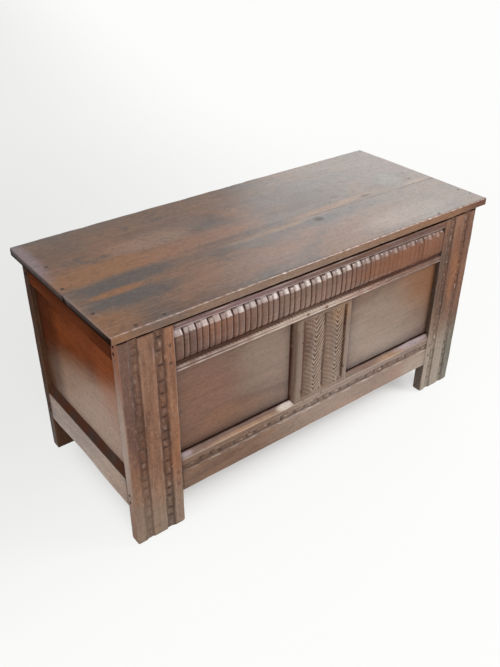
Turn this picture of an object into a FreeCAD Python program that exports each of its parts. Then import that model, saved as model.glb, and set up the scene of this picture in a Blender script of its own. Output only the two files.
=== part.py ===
import FreeCAD, Part
import os

# A joined oak coffer: four corner stiles, rails tenoned and pegged into them, thin panels held
# loose in grooves, a boarded floor on two bearers, and a two-board lid on iron barrel hinges.
# Millimetres, +Z up, +X along the front to the right, +Y from front to back. The origin is on
# the floor, under the middle of the whole chest with its lid closed.

# ---- Case -----------------------------------------------------------------------------------
case_length = 1174.0
case_depth = 490.0
stile_height = 620.0
frame_thickness = 30.0
left_front_stile_width = 140.0
right_front_stile_width = 128.0
rear_stile_width = 140.0
foot_rounding = 6.0

# ---- Rails -----------------------------------------------------------------------------------
rail_top_drop = 3.5
front_bottom_rail_underside = 111.0
front_bottom_rail_face_top = 210.5
side_bottom_rail_underside = 116.0
side_bottom_rail_face_top = 202.0
bottom_rail_top = 230.5
front_top_rail_height = 140.5
side_top_rail_height = 63.5

# ---- Carved work -----------------------------------------------------------------------------
top_fillet_height = 24.5
rail_bead_height = 17.5
rail_quirk_height = 8.0
rail_quirk_depth = 5.0
cushion_crest_depth = 1.0
cushion_edge_depth = 9.0
wide_flute_width = 20.0
narrow_flute_width = 14.6
flute_line_width = 1.8
flute_line_depth = 3.0
rail_channel_bottom = 173.0
rail_channel_height = 20.0
channel_depth = 4.5
outer_land_width = 26.0
outer_channel_width = 22.0
middle_land_width = 40.0
inner_channel_width = 24.0
right_inner_land_width = 22.0
right_inner_channel_width = 20.0
right_outer_channel_width = 18.0

# ---- Muntins ---------------------------------------------------------------------------------
muntin_centre = 10.25
muntin_face_width = 188.5
muntin_chamfer_width = 14.0
back_muntin_width = 150.0
reed_width = 70.0
reed_gap = 4.0
reed_crest_depth = 0.6
reed_edge_depth = 7.0
reed_field_left_margin = 21.0
reed_field_right_margin = 14.5
reed_foot_margin = 12.5
reed_head_margin = 8.0

# ---- Panels, grooves and joints --------------------------------------------------------------
panel_recess = 13.0
panel_thickness = 8.0
groove_depth = 10.0
panel_edge_gap = 0.8
groove_clearance = 0.15
tenon_thickness = 8.0
front_tenon_length = 45.0
side_tenon_length = 18.0
muntin_tenon_length = 40.0
tenon_shoulder = 12.0
tenon_clearance = 0.1
mortise_end_gap = 0.8

# ---- Pegs ------------------------------------------------------------------------------------
peg_radius = 4.2
peg_clearance = 0.1
peg_edge_distance = 13.0
side_peg_edge_distance = 9.0
side_peg_length = 46.0
bottom_rail_low_peg_inset = 31.0
bottom_rail_high_peg_inset = 50.5
top_rail_low_peg_inset = 34.0
top_rail_high_peg_inset = 59.5
side_top_peg_inset = 22.0
side_bottom_low_peg_inset = 21.0
side_bottom_high_peg_inset = 70.5
muntin_head_peg_rise = 9.0
muntin_foot_peg_drop = 22.0
muntin_peg_spacing = 63.0
muntin_peg_shift = -28.5

# ---- Floor -----------------------------------------------------------------------------------
floor_board_count = 6
floor_board_thickness = 12.0
floor_board_gap = 0.8
floor_underside = 140.0
bearer_width = 24.0
bearer_height = 22.0

# ---- Lid -------------------------------------------------------------------------------------
lid_thickness = 22.5
lid_clearance = 0.3
lid_end_overhang = 20.0
lid_front_overhang = 14.5
lid_back_overhang = 8.5
front_board_left_width = 213.5
front_board_right_width = 197.5
lid_joint_gap = 0.6
lid_top_rounding = 6.0
lid_under_rounding = 2.5
batten_width = 80.0
batten_thickness = 22.0
batten_end_clearance = 8.0
batten_side_clearance = 12.0

# ---- Nails -----------------------------------------------------------------------------------
nail_radius = 1.7
nail_head_radius = 4.2
nail_head_thickness = 1.2
nail_clearance = 0.05
nail_bite = 15.0
floor_nail_side_inset = 32.0
batten_nail_rows = 4
batten_nail_stagger = 20.0
batten_nail_offset = 14.0
batten_nail_end_inset = 45.0

# ---- Hinges ----------------------------------------------------------------------------------
hinge_inset = 57.0
hinge_width = 40.0
hinge_plate_thickness = 2.5
knuckle_radius = 6.0
knuckle_gap = 0.4
centre_knuckle_length = 16.0
hinge_pin_radius = 3.0
hinge_pin_clearance = 0.08
barrel_clearance = 0.5
leaf_length = 72.0
strap_length = 170.0
leaf_nail_offsets = [22.0, 42.0, 60.0]
strap_nail_offsets = [58.0, 102.0, 146.0]
leaf_nail_stagger = 9.0

# ---- Places worked out from the sizes --------------------------------------------------------
barrel_reach = barrel_clearance + 2.0 * knuckle_radius
back_reach = max(barrel_reach, lid_back_overhang)
whole_depth = lid_front_overhang + case_depth + back_reach
front_y = -whole_depth / 2.0 + lid_front_overhang
back_y = front_y + case_depth
left_x = -case_length / 2.0
right_x = case_length / 2.0
inner_front_y = front_y + frame_thickness
inner_back_y = back_y - frame_thickness
inner_left_x = left_x + frame_thickness
inner_right_x = right_x - frame_thickness
rail_top = stile_height - rail_top_drop
front_top_rail_underside = rail_top - front_top_rail_height
side_top_rail_underside = rail_top - side_top_rail_height
front_opening_left = left_x + left_front_stile_width
front_opening_right = right_x - right_front_stile_width
back_opening_left = left_x + rear_stile_width
back_opening_right = right_x - rear_stile_width
lid_underside = stile_height + lid_clearance
lid_top = lid_underside + lid_thickness
muntin_full_width = muntin_face_width + 2.0 * muntin_chamfer_width
tongue_outer = panel_recess
tongue_inner = panel_recess + panel_thickness
reach = 2000.0
axis_y = back_y + barrel_clearance + knuckle_radius
axis_z = lid_underside - barrel_clearance - knuckle_radius


# ---- Plain solids ----------------------------------------------------------------------------
def block(x0, x1, y0, y1, z0, z1):
    """A box between two corners, given in any order along each axis."""
    low = FreeCAD.Vector(min(x0, x1), min(y0, y1), min(z0, z1))
    return Part.makeBox(abs(x1 - x0), abs(y1 - y0), abs(z1 - z0), low)


def rod(radius, start, end):
    """A round bar from one point to another."""
    axis = end.sub(start)
    return Part.makeCylinder(radius, axis.Length, start, axis)


def prism(points, sweep):
    """A flat polygon swept along a vector."""
    outline = Part.makePolygon(points + [points[0]])
    return Part.Face(outline).extrude(sweep)


def joined(solids):
    """Several touching solids made one."""
    whole = solids[0]
    for solid in solids[1:]:
        whole = whole.fuse(solid)
    return whole.removeSplitter()


def without(solid, cutters):
    """A solid with every cutter taken out of it."""
    for cutter in cutters:
        solid = solid.cut(cutter)
    return solid


def export(name, solids):
    """One sub-part's solids, written as its own STEP file."""
    shape = solids[0] if len(solids) == 1 else Part.makeCompound(solids)
    shape.exportStep(os.path.join("parts", name + ".step"))


class Wall:
    """One side of the case: where its outer face lies, which way is inwards, and how it runs.

    Depth is measured inwards from the outer face, and the run is X for the front and the back
    and Y for the two ends.
    """

    def __init__(self, face, inward, runs_along_x):
        self.face = face
        self.inward = inward
        self.runs_along_x = runs_along_x

    def point(self, run, depth, height):
        """A point on this wall."""
        across = self.face + self.inward * depth
        if self.runs_along_x:
            return FreeCAD.Vector(run, across, height)
        return FreeCAD.Vector(across, run, height)

    def box(self, run0, run1, depth0, depth1, low, high):
        """A box that lies along this wall."""
        a = self.point(run0, depth0, low)
        b = self.point(run1, depth1, high)
        return block(a.x, b.x, a.y, b.y, a.z, b.z)

    def bar(self, run0, run1, section):
        """A bar along the wall, from its section's (depth, height) corners."""
        points = [self.point(run0, depth, height) for depth, height in section]
        return prism(points, self.point(run1, 0.0, 0.0).sub(self.point(run0, 0.0, 0.0)))

    def post(self, low, high, section):
        """An upright bar, from its section's (run, depth) corners."""
        points = [self.point(run, depth, low) for run, depth in section]
        return prism(points, FreeCAD.Vector(0.0, 0.0, high - low))

    def peg(self, run, height, radius, depth0, depth1):
        """A round peg driven straight through the wall."""
        return rod(radius, self.point(run, depth0, height), self.point(run, depth1, height))

    def upright_hollow(self, centre, width, depth, low, high):
        """A cutter for a shallow round-bottomed channel that runs up the outer face."""
        radius = (width * width / 4.0 + depth * depth) / (2.0 * depth)
        middle = depth - radius
        return rod(radius, self.point(centre, middle, low), self.point(centre, middle, high))

    def level_hollow(self, run0, run1, low, height, depth):
        """A cutter for a shallow round-bottomed channel that runs along the outer face."""
        radius = (height * height / 4.0 + depth * depth) / (2.0 * depth)
        middle = depth - radius
        axis_height = low + height / 2.0
        return rod(radius, self.point(run0, middle, axis_height), self.point(run1, middle, axis_height))


front = Wall(front_y, 1.0, True)
back = Wall(back_y, -1.0, True)
left = Wall(left_x, 1.0, False)
right = Wall(right_x, -1.0, False)


# ---- Joints between members ------------------------------------------------------------------
def tenon(wall, run0, run1, low, high, spare=0.0, end_spare=0.0):
    """A tenon along the wall in line with the panel grooves, or its mortise when given spare.

    run0 is the shoulder and run1 the tenon's end.
    """
    way = 1.0 if run1 > run0 else -1.0
    middle = (tongue_outer + tongue_inner) / 2.0
    half = tenon_thickness / 2.0 + spare
    end = run1 + way * end_spare
    return wall.box(run0, end, middle - half, middle + half, low - spare, high + spare)


def upright_tenon(wall, run0, run1, shoulder, tip, spare=0.0, end_spare=0.0):
    """A muntin's tenon, or its mortise when given spare."""
    way = 1.0 if tip > shoulder else -1.0
    middle = (tongue_outer + tongue_inner) / 2.0
    half = tenon_thickness / 2.0 + spare
    end = tip + way * end_spare
    return wall.box(run0 - spare, run1 + spare, middle - half, middle + half, shoulder, end)


def panel_groove(wall, run0, run1, low, high):
    """The cutter for the groove that holds the panels, as long and high as it is told."""
    outer = tongue_outer - groove_clearance
    inner = tongue_inner + groove_clearance
    return wall.box(run0, run1, outer, inner, low, high)


def panel(wall, run0, run1, low, high):
    """A thin panel that fills an opening and stands loose in the grooves round it."""
    tongue = groove_depth - panel_edge_gap
    return wall.box(run0 - tongue, run1 + tongue, tongue_outer, tongue_inner, low - tongue, high + tongue)


def end_tenon_heights(low, high):
    """How much of a rail's height its tenons take."""
    return low + tenon_shoulder, high - tenon_shoulder


class Rail:
    """A level member of one wall: its ends, heights and the tenons on it."""

    def __init__(self, wall, start, end, low, high, tenon_length, peg_insets, peg_edge):
        self.wall = wall
        self.start = start
        self.end = end
        self.low = low
        self.high = high
        self.tenon_length = tenon_length
        self.low_peg_inset, self.high_peg_inset = peg_insets
        self.peg_edge = peg_edge
        self.tenon_low, self.tenon_high = end_tenon_heights(low, high)

    def tenons(self, spare=0.0, end_spare=0.0):
        """Both end tenons, or both mortises when given spare."""
        starts = tenon(self.wall, self.start, self.start - self.tenon_length,
                       self.tenon_low, self.tenon_high, spare, end_spare)
        ends = tenon(self.wall, self.end, self.end + self.tenon_length,
                     self.tenon_low, self.tenon_high, spare, end_spare)
        return [starts, ends]

    def mortises(self):
        """The cutters for the two mortises that take this rail."""
        return self.tenons(tenon_clearance, mortise_end_gap)

    def peg_places(self):
        """Run and height of each peg: two through each tenon."""
        runs = [self.start - self.peg_edge, self.end + self.peg_edge]
        heights = [self.low + self.low_peg_inset, self.high - self.high_peg_inset]
        return [(run, height) for run in runs for height in heights]

    def pegs(self, radius, length):
        """The pegs of both ends, or their bores when given a wider radius."""
        return [self.wall.peg(run, height, radius, 0.0, length) for run, height in self.peg_places()]


top_peg_insets = (top_rail_low_peg_inset, top_rail_high_peg_inset)
bottom_peg_insets = (bottom_rail_low_peg_inset, bottom_rail_high_peg_inset)
front_top = Rail(front, front_opening_left, front_opening_right, front_top_rail_underside, rail_top,
                 front_tenon_length, top_peg_insets, peg_edge_distance)
front_bottom = Rail(front, front_opening_left, front_opening_right, front_bottom_rail_underside,
                    bottom_rail_top, front_tenon_length, bottom_peg_insets, peg_edge_distance)
back_top = Rail(back, back_opening_left, back_opening_right, front_top_rail_underside, rail_top,
                front_tenon_length, top_peg_insets, peg_edge_distance)
back_bottom = Rail(back, back_opening_left, back_opening_right, front_bottom_rail_underside,
                   bottom_rail_top, front_tenon_length, bottom_peg_insets, peg_edge_distance)
end_rails = {}
for end_name, end_wall in (("left", left), ("right", right)):
    end_rails[end_name + "_side_top_rail"] = Rail(
        end_wall, inner_front_y, inner_back_y, side_top_rail_underside, rail_top, side_tenon_length,
        (side_top_peg_inset, side_top_peg_inset), side_peg_edge_distance)
    end_rails[end_name + "_side_bottom_rail"] = Rail(
        end_wall, inner_front_y, inner_back_y, side_bottom_rail_underside, bottom_rail_top,
        side_tenon_length, (side_bottom_low_peg_inset, side_bottom_high_peg_inset),
        side_peg_edge_distance)


# ---- Muntins ---------------------------------------------------------------------------------
class Muntin:
    """The upright between a wall's two panels, tenoned into the rails above and below."""

    def __init__(self, wall, width, peg_middle):
        self.wall = wall
        self.start = muntin_centre - width / 2.0
        self.end = muntin_centre + width / 2.0
        self.peg_middle = peg_middle

    def tenons(self, spare=0.0, end_spare=0.0):
        """The tenons at the head and the foot, or their mortises when given spare."""
        inset = tenon_shoulder
        head = upright_tenon(self.wall, self.start + inset, self.end - inset, front_top_rail_underside,
                             front_top_rail_underside + muntin_tenon_length, spare, end_spare)
        foot = upright_tenon(self.wall, self.start + inset, self.end - inset, bottom_rail_top,
                             bottom_rail_top - muntin_tenon_length, spare, end_spare)
        return [head, foot]

    def mortises(self):
        """The cutters for the mortises in the two rails."""
        return self.tenons(tenon_clearance, mortise_end_gap)

    def pegs(self, radius, length):
        """Two pegs through the head's tenon and two through the foot's."""
        runs = [self.peg_middle - muntin_peg_spacing / 2.0, self.peg_middle + muntin_peg_spacing / 2.0]
        heights = [front_top_rail_underside + muntin_head_peg_rise, bottom_rail_top - muntin_foot_peg_drop]
        return [self.wall.peg(run, height, radius, 0.0, length) for run in runs for height in heights]


front_muntin = Muntin(front, muntin_full_width, muntin_centre + muntin_peg_shift)
back_muntin = Muntin(back, back_muntin_width, muntin_centre)


def muntin_reeds(face_start, face_end, low, high):
    """The cutter for the sunk field of the carved muntin, which leaves two half-round reeds in it."""
    field_end = face_end - reed_field_right_margin
    field = front.box(face_start + reed_field_left_margin, field_end, 0.0, reed_edge_depth, low, high)
    rise = reed_edge_depth - reed_crest_depth
    radius = (reed_width * reed_width / 4.0 + rise * rise) / (2.0 * rise)
    middles = [field_end - reed_width / 2.0 - step * (reed_width + reed_gap) for step in (0, 1)]
    depth = reed_crest_depth + radius
    reeds = [rod(radius, front.point(middle, depth, low), front.point(middle, depth, high))
             for middle in middles]
    return without(field, reeds)


def front_muntin_solid():
    """The carved muntin: chamfered arrises, two upright reeds, and a foot cut over the rail."""
    face_start = muntin_centre - muntin_face_width / 2.0
    face_end = muntin_centre + muntin_face_width / 2.0
    plan = [(face_start, 0.0), (face_end, 0.0), (front_muntin.end, panel_recess),
            (front_muntin.end, frame_thickness), (front_muntin.start, frame_thickness),
            (front_muntin.start, panel_recess)]
    body = front.post(front_bottom_rail_face_top, front_top_rail_underside, plan)
    foot_cut = front.bar(front_muntin.start, front_muntin.end,
                         [(0.0, front_bottom_rail_face_top), (panel_recess, bottom_rail_top),
                          (frame_thickness, bottom_rail_top),
                          (frame_thickness, front_bottom_rail_face_top)])
    body = body.cut(foot_cut)
    sinking = muntin_reeds(face_start, face_end, front_bottom_rail_face_top + reed_foot_margin,
                           front_top_rail_underside - reed_head_margin)
    grooves = muntin_grooves(front_muntin)
    return without(joined([body] + front_muntin.tenons()), [sinking] + grooves)


def back_muntin_solid():
    """The plain muntin of the back."""
    body = back.box(back_muntin.start, back_muntin.end, 0.0, frame_thickness,
                    bottom_rail_top, front_top_rail_underside)
    return without(joined([body] + back_muntin.tenons()), muntin_grooves(back_muntin))


def muntin_grooves(muntin):
    """The cutters for the panel grooves in a muntin's two edges."""
    low = bottom_rail_top
    high = front_top_rail_underside
    return [panel_groove(muntin.wall, muntin.start, muntin.start + groove_depth, low, high),
            panel_groove(muntin.wall, muntin.end - groove_depth, muntin.end, low, high)]


# ---- Rails -----------------------------------------------------------------------------------
def rail_groove(rail, at_top):
    """The panel groove in a rail's upper or lower edge, from shoulder to shoulder."""
    if at_top:
        return panel_groove(rail.wall, rail.start, rail.end, rail.high - groove_depth, rail.high)
    return panel_groove(rail.wall, rail.start, rail.end, rail.low, rail.low + groove_depth)


def flute_lines():
    """Where the cuts between wide and narrow flutes stand along the frieze, from its left end."""
    pitch = wide_flute_width + narrow_flute_width
    pairs = int((front_top.end - front_top.start) // pitch)
    starts = [front_top.start + index * pitch for index in range(pairs)]
    return [start + offset for start in starts for offset in (wide_flute_width, pitch)]


def front_top_rail_solid():
    """The frieze rail: a top fillet, a fluted cushion, a quirk, and a bead on its lower edge."""
    band_low = front_top_rail_underside + rail_bead_height + rail_quirk_height
    band_high = rail_top - top_fillet_height
    band_height = band_high - band_low
    rise = cushion_edge_depth - cushion_crest_depth
    radius = (band_height * band_height / 4.0 + rise * rise) / (2.0 * rise)
    middle = (band_low + band_high) / 2.0
    axis_start = front.point(front_top.start, cushion_crest_depth + radius, middle)
    axis_end = front.point(front_top.end, cushion_crest_depth + radius, middle)
    body = front.box(front_top.start, front_top.end, 0.0, frame_thickness, front_top.low, front_top.high)
    sinking = front.box(front_top.start, front_top.end, 0.0, cushion_edge_depth, band_low, band_high)
    cushion = rod(radius, axis_start, axis_end)
    half_line = flute_line_width / 2.0
    slots = [front.box(run - half_line, run + half_line, 0.0, cushion_edge_depth + flute_line_depth,
                       band_low, band_high) for run in flute_lines()]
    lines = Part.makeCompound(slots).cut(rod(radius - flute_line_depth, axis_start, axis_end))
    quirk = front.box(front_top.start, front_top.end, 0.0, rail_quirk_depth,
                      front_top_rail_underside + rail_bead_height, band_low)
    body = without(body, [sinking.cut(cushion), quirk, lines])
    cutters = [rail_groove(front_top, False)] + front_muntin.mortises()
    return without(joined([body] + front_top.tenons()), cutters)


def front_bottom_rail_solid():
    """The lower front rail: a chamfer under the panels and one gouged channel along its face."""
    section = [(0.0, front_bottom.low), (0.0, front_bottom_rail_face_top), (panel_recess, bottom_rail_top),
               (frame_thickness, bottom_rail_top), (frame_thickness, front_bottom.low)]
    body = front.bar(front_bottom.start, front_bottom.end, section)
    channel = front.level_hollow(front_bottom.start, front_bottom.end, rail_channel_bottom,
                                 rail_channel_height, channel_depth)
    cutters = [channel, rail_groove(front_bottom, True)] + front_muntin.mortises()
    return without(joined([body] + front_bottom.tenons()), cutters)


def back_rail_solid(rail, groove_at_top):
    """A plain rail of the back, with the mortise for the back muntin."""
    body = back.box(rail.start, rail.end, 0.0, frame_thickness, rail.low, rail.high)
    cutters = [rail_groove(rail, groove_at_top)] + back_muntin.mortises()
    return without(joined([body] + rail.tenons()), cutters)


def end_top_rail_solid(rail):
    """The plain upper rail of an end."""
    body = rail.wall.box(rail.start, rail.end, 0.0, frame_thickness, rail.low, rail.high)
    return without(joined([body] + rail.tenons()), [rail_groove(rail, False)])


def end_bottom_rail_solid(rail):
    """The lower rail of an end, chamfered under its panel."""
    section = [(0.0, rail.low), (0.0, side_bottom_rail_face_top), (panel_recess, rail.high),
               (frame_thickness, rail.high), (frame_thickness, rail.low)]
    body = rail.wall.bar(rail.start, rail.end, section)
    return without(joined([body] + rail.tenons()), [rail_groove(rail, True)])


# ---- Stiles ----------------------------------------------------------------------------------
def stile_blank(wall, outer, inner):
    """A corner stile's board, its foot rounded over on all four edges."""
    blank = wall.box(outer, inner, 0.0, frame_thickness, 0.0, stile_height)
    foot_edges = [edge for edge in blank.Edges if edge.BoundBox.ZMax < foot_rounding / 2.0]
    return blank.makeFillet(foot_rounding, foot_edges)


def stile_solid(wall, outer, inner, channels, rails, end_wall, end_rail_names):
    """A corner stile with its gouged channels, mortises and panel grooves.

    channels holds the centre and width of each channel. rails are the two rails of the stile's
    own wall, and the end rails are those that are tenoned into its inner face.
    """
    way = 1.0 if inner > outer else -1.0
    cutters = [wall.upright_hollow(centre, width, channel_depth, 0.0, stile_height)
               for centre, width in channels]
    for rail in rails:
        cutters += rail.mortises()
    cutters.append(panel_groove(wall, inner, inner - way * groove_depth,
                                bottom_rail_top - groove_depth, rails[1].low + groove_depth))
    inner_face = wall.face + wall.inward * frame_thickness
    groove_end = inner_face - wall.inward * groove_depth
    for name in end_rail_names:
        cutters += end_rails[name].mortises()
    top_low = end_rails[end_rail_names[0]].low
    cutters.append(panel_groove(end_wall, inner_face, groove_end,
                                bottom_rail_top - groove_depth, top_low + groove_depth))
    return without(stile_blank(wall, outer, inner), cutters)


def stacked_channels(start, way, widths):
    """Centres and widths of the channels, from lands and channels laid side by side."""
    places = []
    run = start
    for index, width in enumerate(widths):
        if index % 2 == 1:
            places.append((run + way * width / 2.0, width))
        run += way * width
    return places


left_channels = stacked_channels(left_x, 1.0, [outer_land_width, outer_channel_width,
                                               middle_land_width, inner_channel_width])
right_channels = stacked_channels(front_opening_right, 1.0, [right_inner_land_width,
                                                             right_inner_channel_width,
                                                             middle_land_width,
                                                             right_outer_channel_width])
left_end_names = ("left_side_top_rail", "left_side_bottom_rail")
right_end_names = ("right_side_top_rail", "right_side_bottom_rail")


# ---- Pegs ------------------------------------------------------------------------------------
def wall_pegs(rails, muntin, radius):
    """Every peg of the front or the back, or their bores when given a wider radius."""
    pegs = []
    for rail in rails:
        pegs += rail.pegs(radius, frame_thickness)
    return pegs + muntin.pegs(radius, frame_thickness)


def end_pegs(names, radius):
    """Every peg of one end, or their bores when given a wider radius."""
    pegs = []
    for name in names:
        pegs += end_rails[name].pegs(radius, side_peg_length)
    return pegs


bore_radius = peg_radius + peg_clearance
front_bores = wall_pegs([front_top, front_bottom], front_muntin, bore_radius)
back_bores = wall_pegs([back_top, back_bottom], back_muntin, bore_radius)
left_bores = end_pegs(left_end_names, bore_radius)
right_bores = end_pegs(right_end_names, bore_radius)


# ---- Nails -----------------------------------------------------------------------------------
def nail(tip, under_head):
    """A cut nail as a round shank with a flat round head."""
    out = under_head.sub(tip)
    out.normalize()
    shank = rod(nail_radius, tip, under_head)
    head = rod(nail_head_radius, under_head, under_head.add(out.multiply(nail_head_thickness)))
    return shank.fuse(head).removeSplitter()


def nail_bore(tip, under_head):
    """The hole for a nail's shank."""
    return rod(nail_radius + nail_clearance, tip, under_head)


# ---- Floor -----------------------------------------------------------------------------------
floor_top = floor_underside + floor_board_thickness
floor_start = inner_left_x + floor_board_gap
floor_pitch = (inner_right_x - floor_start) / floor_board_count
bearer_front = (inner_front_y, inner_front_y + bearer_width)
bearer_back = (inner_back_y - bearer_width, inner_back_y)


def floor_nail_ends():
    """Tip and head of each floor nail: two at each end of each board, down into the bearers."""
    ends = []
    for index in range(floor_board_count):
        start = floor_start + index * floor_pitch
        end = start + floor_pitch - floor_board_gap
        for x in (start + floor_nail_side_inset, end - floor_nail_side_inset):
            for bearer in (bearer_front, bearer_back):
                y = (bearer[0] + bearer[1]) / 2.0
                ends.append((FreeCAD.Vector(x, y, floor_underside - nail_bite),
                             FreeCAD.Vector(x, y, floor_top)))
    return ends


def bearer_nail_ends():
    """Tip and head of each nail that holds a bearer to its rail, one under each board joint."""
    ends = []
    height = floor_underside - bearer_height / 2.0
    for index in range(1, floor_board_count):
        x = floor_start + index * floor_pitch - floor_board_gap / 2.0
        ends.append((FreeCAD.Vector(x, bearer_front[0] - nail_bite, height),
                     FreeCAD.Vector(x, bearer_front[1], height)))
        ends.append((FreeCAD.Vector(x, bearer_back[1] + nail_bite, height),
                     FreeCAD.Vector(x, bearer_back[0], height)))
    return ends


floor_nail_bores = [nail_bore(tip, head) for tip, head in floor_nail_ends()]
bearer_nail_bores = [nail_bore(tip, head) for tip, head in bearer_nail_ends()]


def floor_board(index):
    """One board of the floor, laid from front to back."""
    start = floor_start + index * floor_pitch
    board = block(start, start + floor_pitch - floor_board_gap, inner_front_y + floor_board_gap,
                  inner_back_y - floor_board_gap, floor_underside, floor_top)
    return without(board, floor_nail_bores)


def floor_bearer(span):
    """A square bearer nailed along the inside of a wall, under the ends of the floor boards."""
    bar = block(inner_left_x, inner_right_x, span[0], span[1], floor_underside - bearer_height,
                floor_underside)
    return without(bar, floor_nail_bores + bearer_nail_bores)


# ---- Hinges ----------------------------------------------------------------------------------
class Hinge:
    """A barrel hinge: a leaf nailed to the back rail, a strap nailed under the lid, and a pin."""

    def __init__(self, centre):
        self.centre = centre
        self.start = centre - hinge_width / 2.0
        self.end = centre + hinge_width / 2.0
        self.strap_start = centre - centre_knuckle_length / 2.0
        self.strap_end = centre + centre_knuckle_length / 2.0

    def axis_point(self, x):
        """A point on the hinge's axis."""
        return FreeCAD.Vector(x, axis_y, axis_z)

    def barrel(self, radius, x0, x1):
        """A round bar on the hinge's axis."""
        return rod(radius, self.axis_point(x0), self.axis_point(x1))

    def leaf(self):
        """The plate on the back rail with its two outer knuckles."""
        plate = block(self.start, self.end, back_y, back_y + hinge_plate_thickness,
                      axis_z - leaf_length, axis_z)
        slot = block(self.strap_start - knuckle_gap, self.strap_end + knuckle_gap, back_y, back_y + reach,
                     axis_z - knuckle_radius - knuckle_gap, axis_z + reach)
        knuckles = [self.barrel(knuckle_radius, self.start, self.strap_start - knuckle_gap),
                    self.barrel(knuckle_radius, self.strap_end + knuckle_gap, self.end)]
        webs = [block(x0, x1, back_y, axis_y, axis_z - knuckle_radius, axis_z)
                for x0, x1 in ((self.start, self.strap_start - knuckle_gap),
                               (self.strap_end + knuckle_gap, self.end))]
        body = joined([plate.cut(slot)] + knuckles + webs)
        bores = [nail_bore(tip, head) for tip, head in self.leaf_nail_ends()]
        return without(body, [self.pin_bore()] + bores)

    def strap(self):
        """The plate under the lid with the middle knuckle, round at its far end."""
        top = lid_underside
        low = lid_underside - hinge_plate_thickness
        nose_y = axis_y - strap_length + hinge_width / 2.0
        neck_y = inner_back_y
        plate = block(self.start, self.end, nose_y, neck_y, low, top)
        nose = rod(hinge_width / 2.0, FreeCAD.Vector(self.centre, nose_y, low),
                   FreeCAD.Vector(self.centre, nose_y, top))
        neck = block(self.strap_start, self.strap_end, neck_y, axis_y, low, top)
        knuckle = self.barrel(knuckle_radius, self.strap_start, self.strap_end)
        web = block(self.strap_start, self.strap_end, axis_y - knuckle_radius, axis_y, axis_z, low)
        body = joined([plate, nose, neck, knuckle, web])
        bores = [nail_bore(tip, head) for tip, head in self.strap_nail_ends()]
        return without(body, [self.pin_bore()] + bores)

    def pin(self):
        """The pin through all three knuckles."""
        return self.barrel(hinge_pin_radius, self.start, self.end)

    def pin_bore(self):
        """The hole through the knuckles."""
        return self.barrel(hinge_pin_radius + hinge_pin_clearance, self.start, self.end)

    def leaf_nail_ends(self):
        """Tip and head of each nail that holds the leaf to the back rail."""
        ends = []
        for index, drop in enumerate(leaf_nail_offsets):
            x = self.centre + leaf_nail_stagger * (1.0 if index % 2 else -1.0)
            ends.append((FreeCAD.Vector(x, back_y - nail_bite, axis_z - drop),
                         FreeCAD.Vector(x, back_y + hinge_plate_thickness, axis_z - drop)))
        return ends

    def strap_nail_ends(self):
        """Tip and head of each nail that holds the strap up to the lid."""
        return [(FreeCAD.Vector(self.centre, axis_y - offset, lid_underside + nail_bite),
                 FreeCAD.Vector(self.centre, axis_y - offset, lid_underside - hinge_plate_thickness))
                for offset in strap_nail_offsets]


hinges = {"left": Hinge(back_opening_left + hinge_inset), "right": Hinge(back_opening_right - hinge_inset)}
leaf_nail_bores = [nail_bore(tip, head)
                   for hinge in hinges.values() for tip, head in hinge.leaf_nail_ends()]
strap_nail_bores = [nail_bore(tip, head)
                    for hinge in hinges.values() for tip, head in hinge.strap_nail_ends()]


# ---- Lid -------------------------------------------------------------------------------------
lid_left = left_x - lid_end_overhang
lid_right = right_x + lid_end_overhang
lid_front = front_y - lid_front_overhang
lid_back = back_y + lid_back_overhang
joint_left_y = lid_front + front_board_left_width
joint_right_y = lid_front + front_board_right_width
batten_start = inner_front_y + batten_end_clearance
batten_end = inner_back_y - batten_end_clearance
batten_low = lid_underside - batten_thickness


def batten_span(side):
    """The two edges of a batten, one for each end of the lid."""
    outer = side * (case_length / 2.0 - frame_thickness - batten_side_clearance)
    return outer - side * batten_width, outer


def batten_nail_ends(side):
    """Tip and head of each nail that holds a batten up to the lid, in two staggered rows."""
    middle = sum(batten_span(side)) / 2.0
    step = (batten_end - batten_start - 2.0 * batten_nail_end_inset) / (batten_nail_rows - 1)
    ends = []
    for index in range(batten_nail_rows):
        y = batten_start + batten_nail_end_inset + index * step
        for row in (-1.0, 1.0):
            x = middle + row * batten_nail_stagger
            place = y + row * batten_nail_offset
            ends.append((FreeCAD.Vector(x, place, lid_underside + nail_bite),
                         FreeCAD.Vector(x, place, batten_low)))
    return ends


batten_nails = batten_nail_ends(-1.0) + batten_nail_ends(1.0)
batten_nail_bores = [nail_bore(tip, head) for tip, head in batten_nails]


def lid_board(outer_y, side):
    """One board of the lid: one long edge straight, the other on the tapering joint."""
    gap = side * lid_joint_gap / 2.0
    corners = [FreeCAD.Vector(lid_left, outer_y, lid_underside),
               FreeCAD.Vector(lid_right, outer_y, lid_underside),
               FreeCAD.Vector(lid_right, joint_right_y + gap, lid_underside),
               FreeCAD.Vector(lid_left, joint_left_y + gap, lid_underside)]
    board = prism(corners, FreeCAD.Vector(0.0, 0.0, lid_thickness))
    board = rounded_outside(board, outer_y, lid_top, lid_top_rounding)
    board = rounded_outside(board, outer_y, lid_underside, lid_under_rounding)
    return without(board, batten_nail_bores + strap_nail_bores)


def rounded_outside(board, outer_y, height, radius):
    """The board with its outer long arris and its end arrises at one height rounded over."""
    edges = []
    for edge in board.Edges:
        box = edge.BoundBox
        level = abs(box.ZMin - height) < radius / 4.0 and abs(box.ZMax - height) < radius / 4.0
        long_edge = abs(box.YMin - outer_y) < radius / 4.0 and abs(box.YMax - outer_y) < radius / 4.0
        end_edge = min(abs(box.XMax - lid_left), abs(box.XMin - lid_right)) < radius / 4.0
        if level and (long_edge or end_edge):
            edges.append(edge)
    return board.makeFillet(radius, edges)


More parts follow.
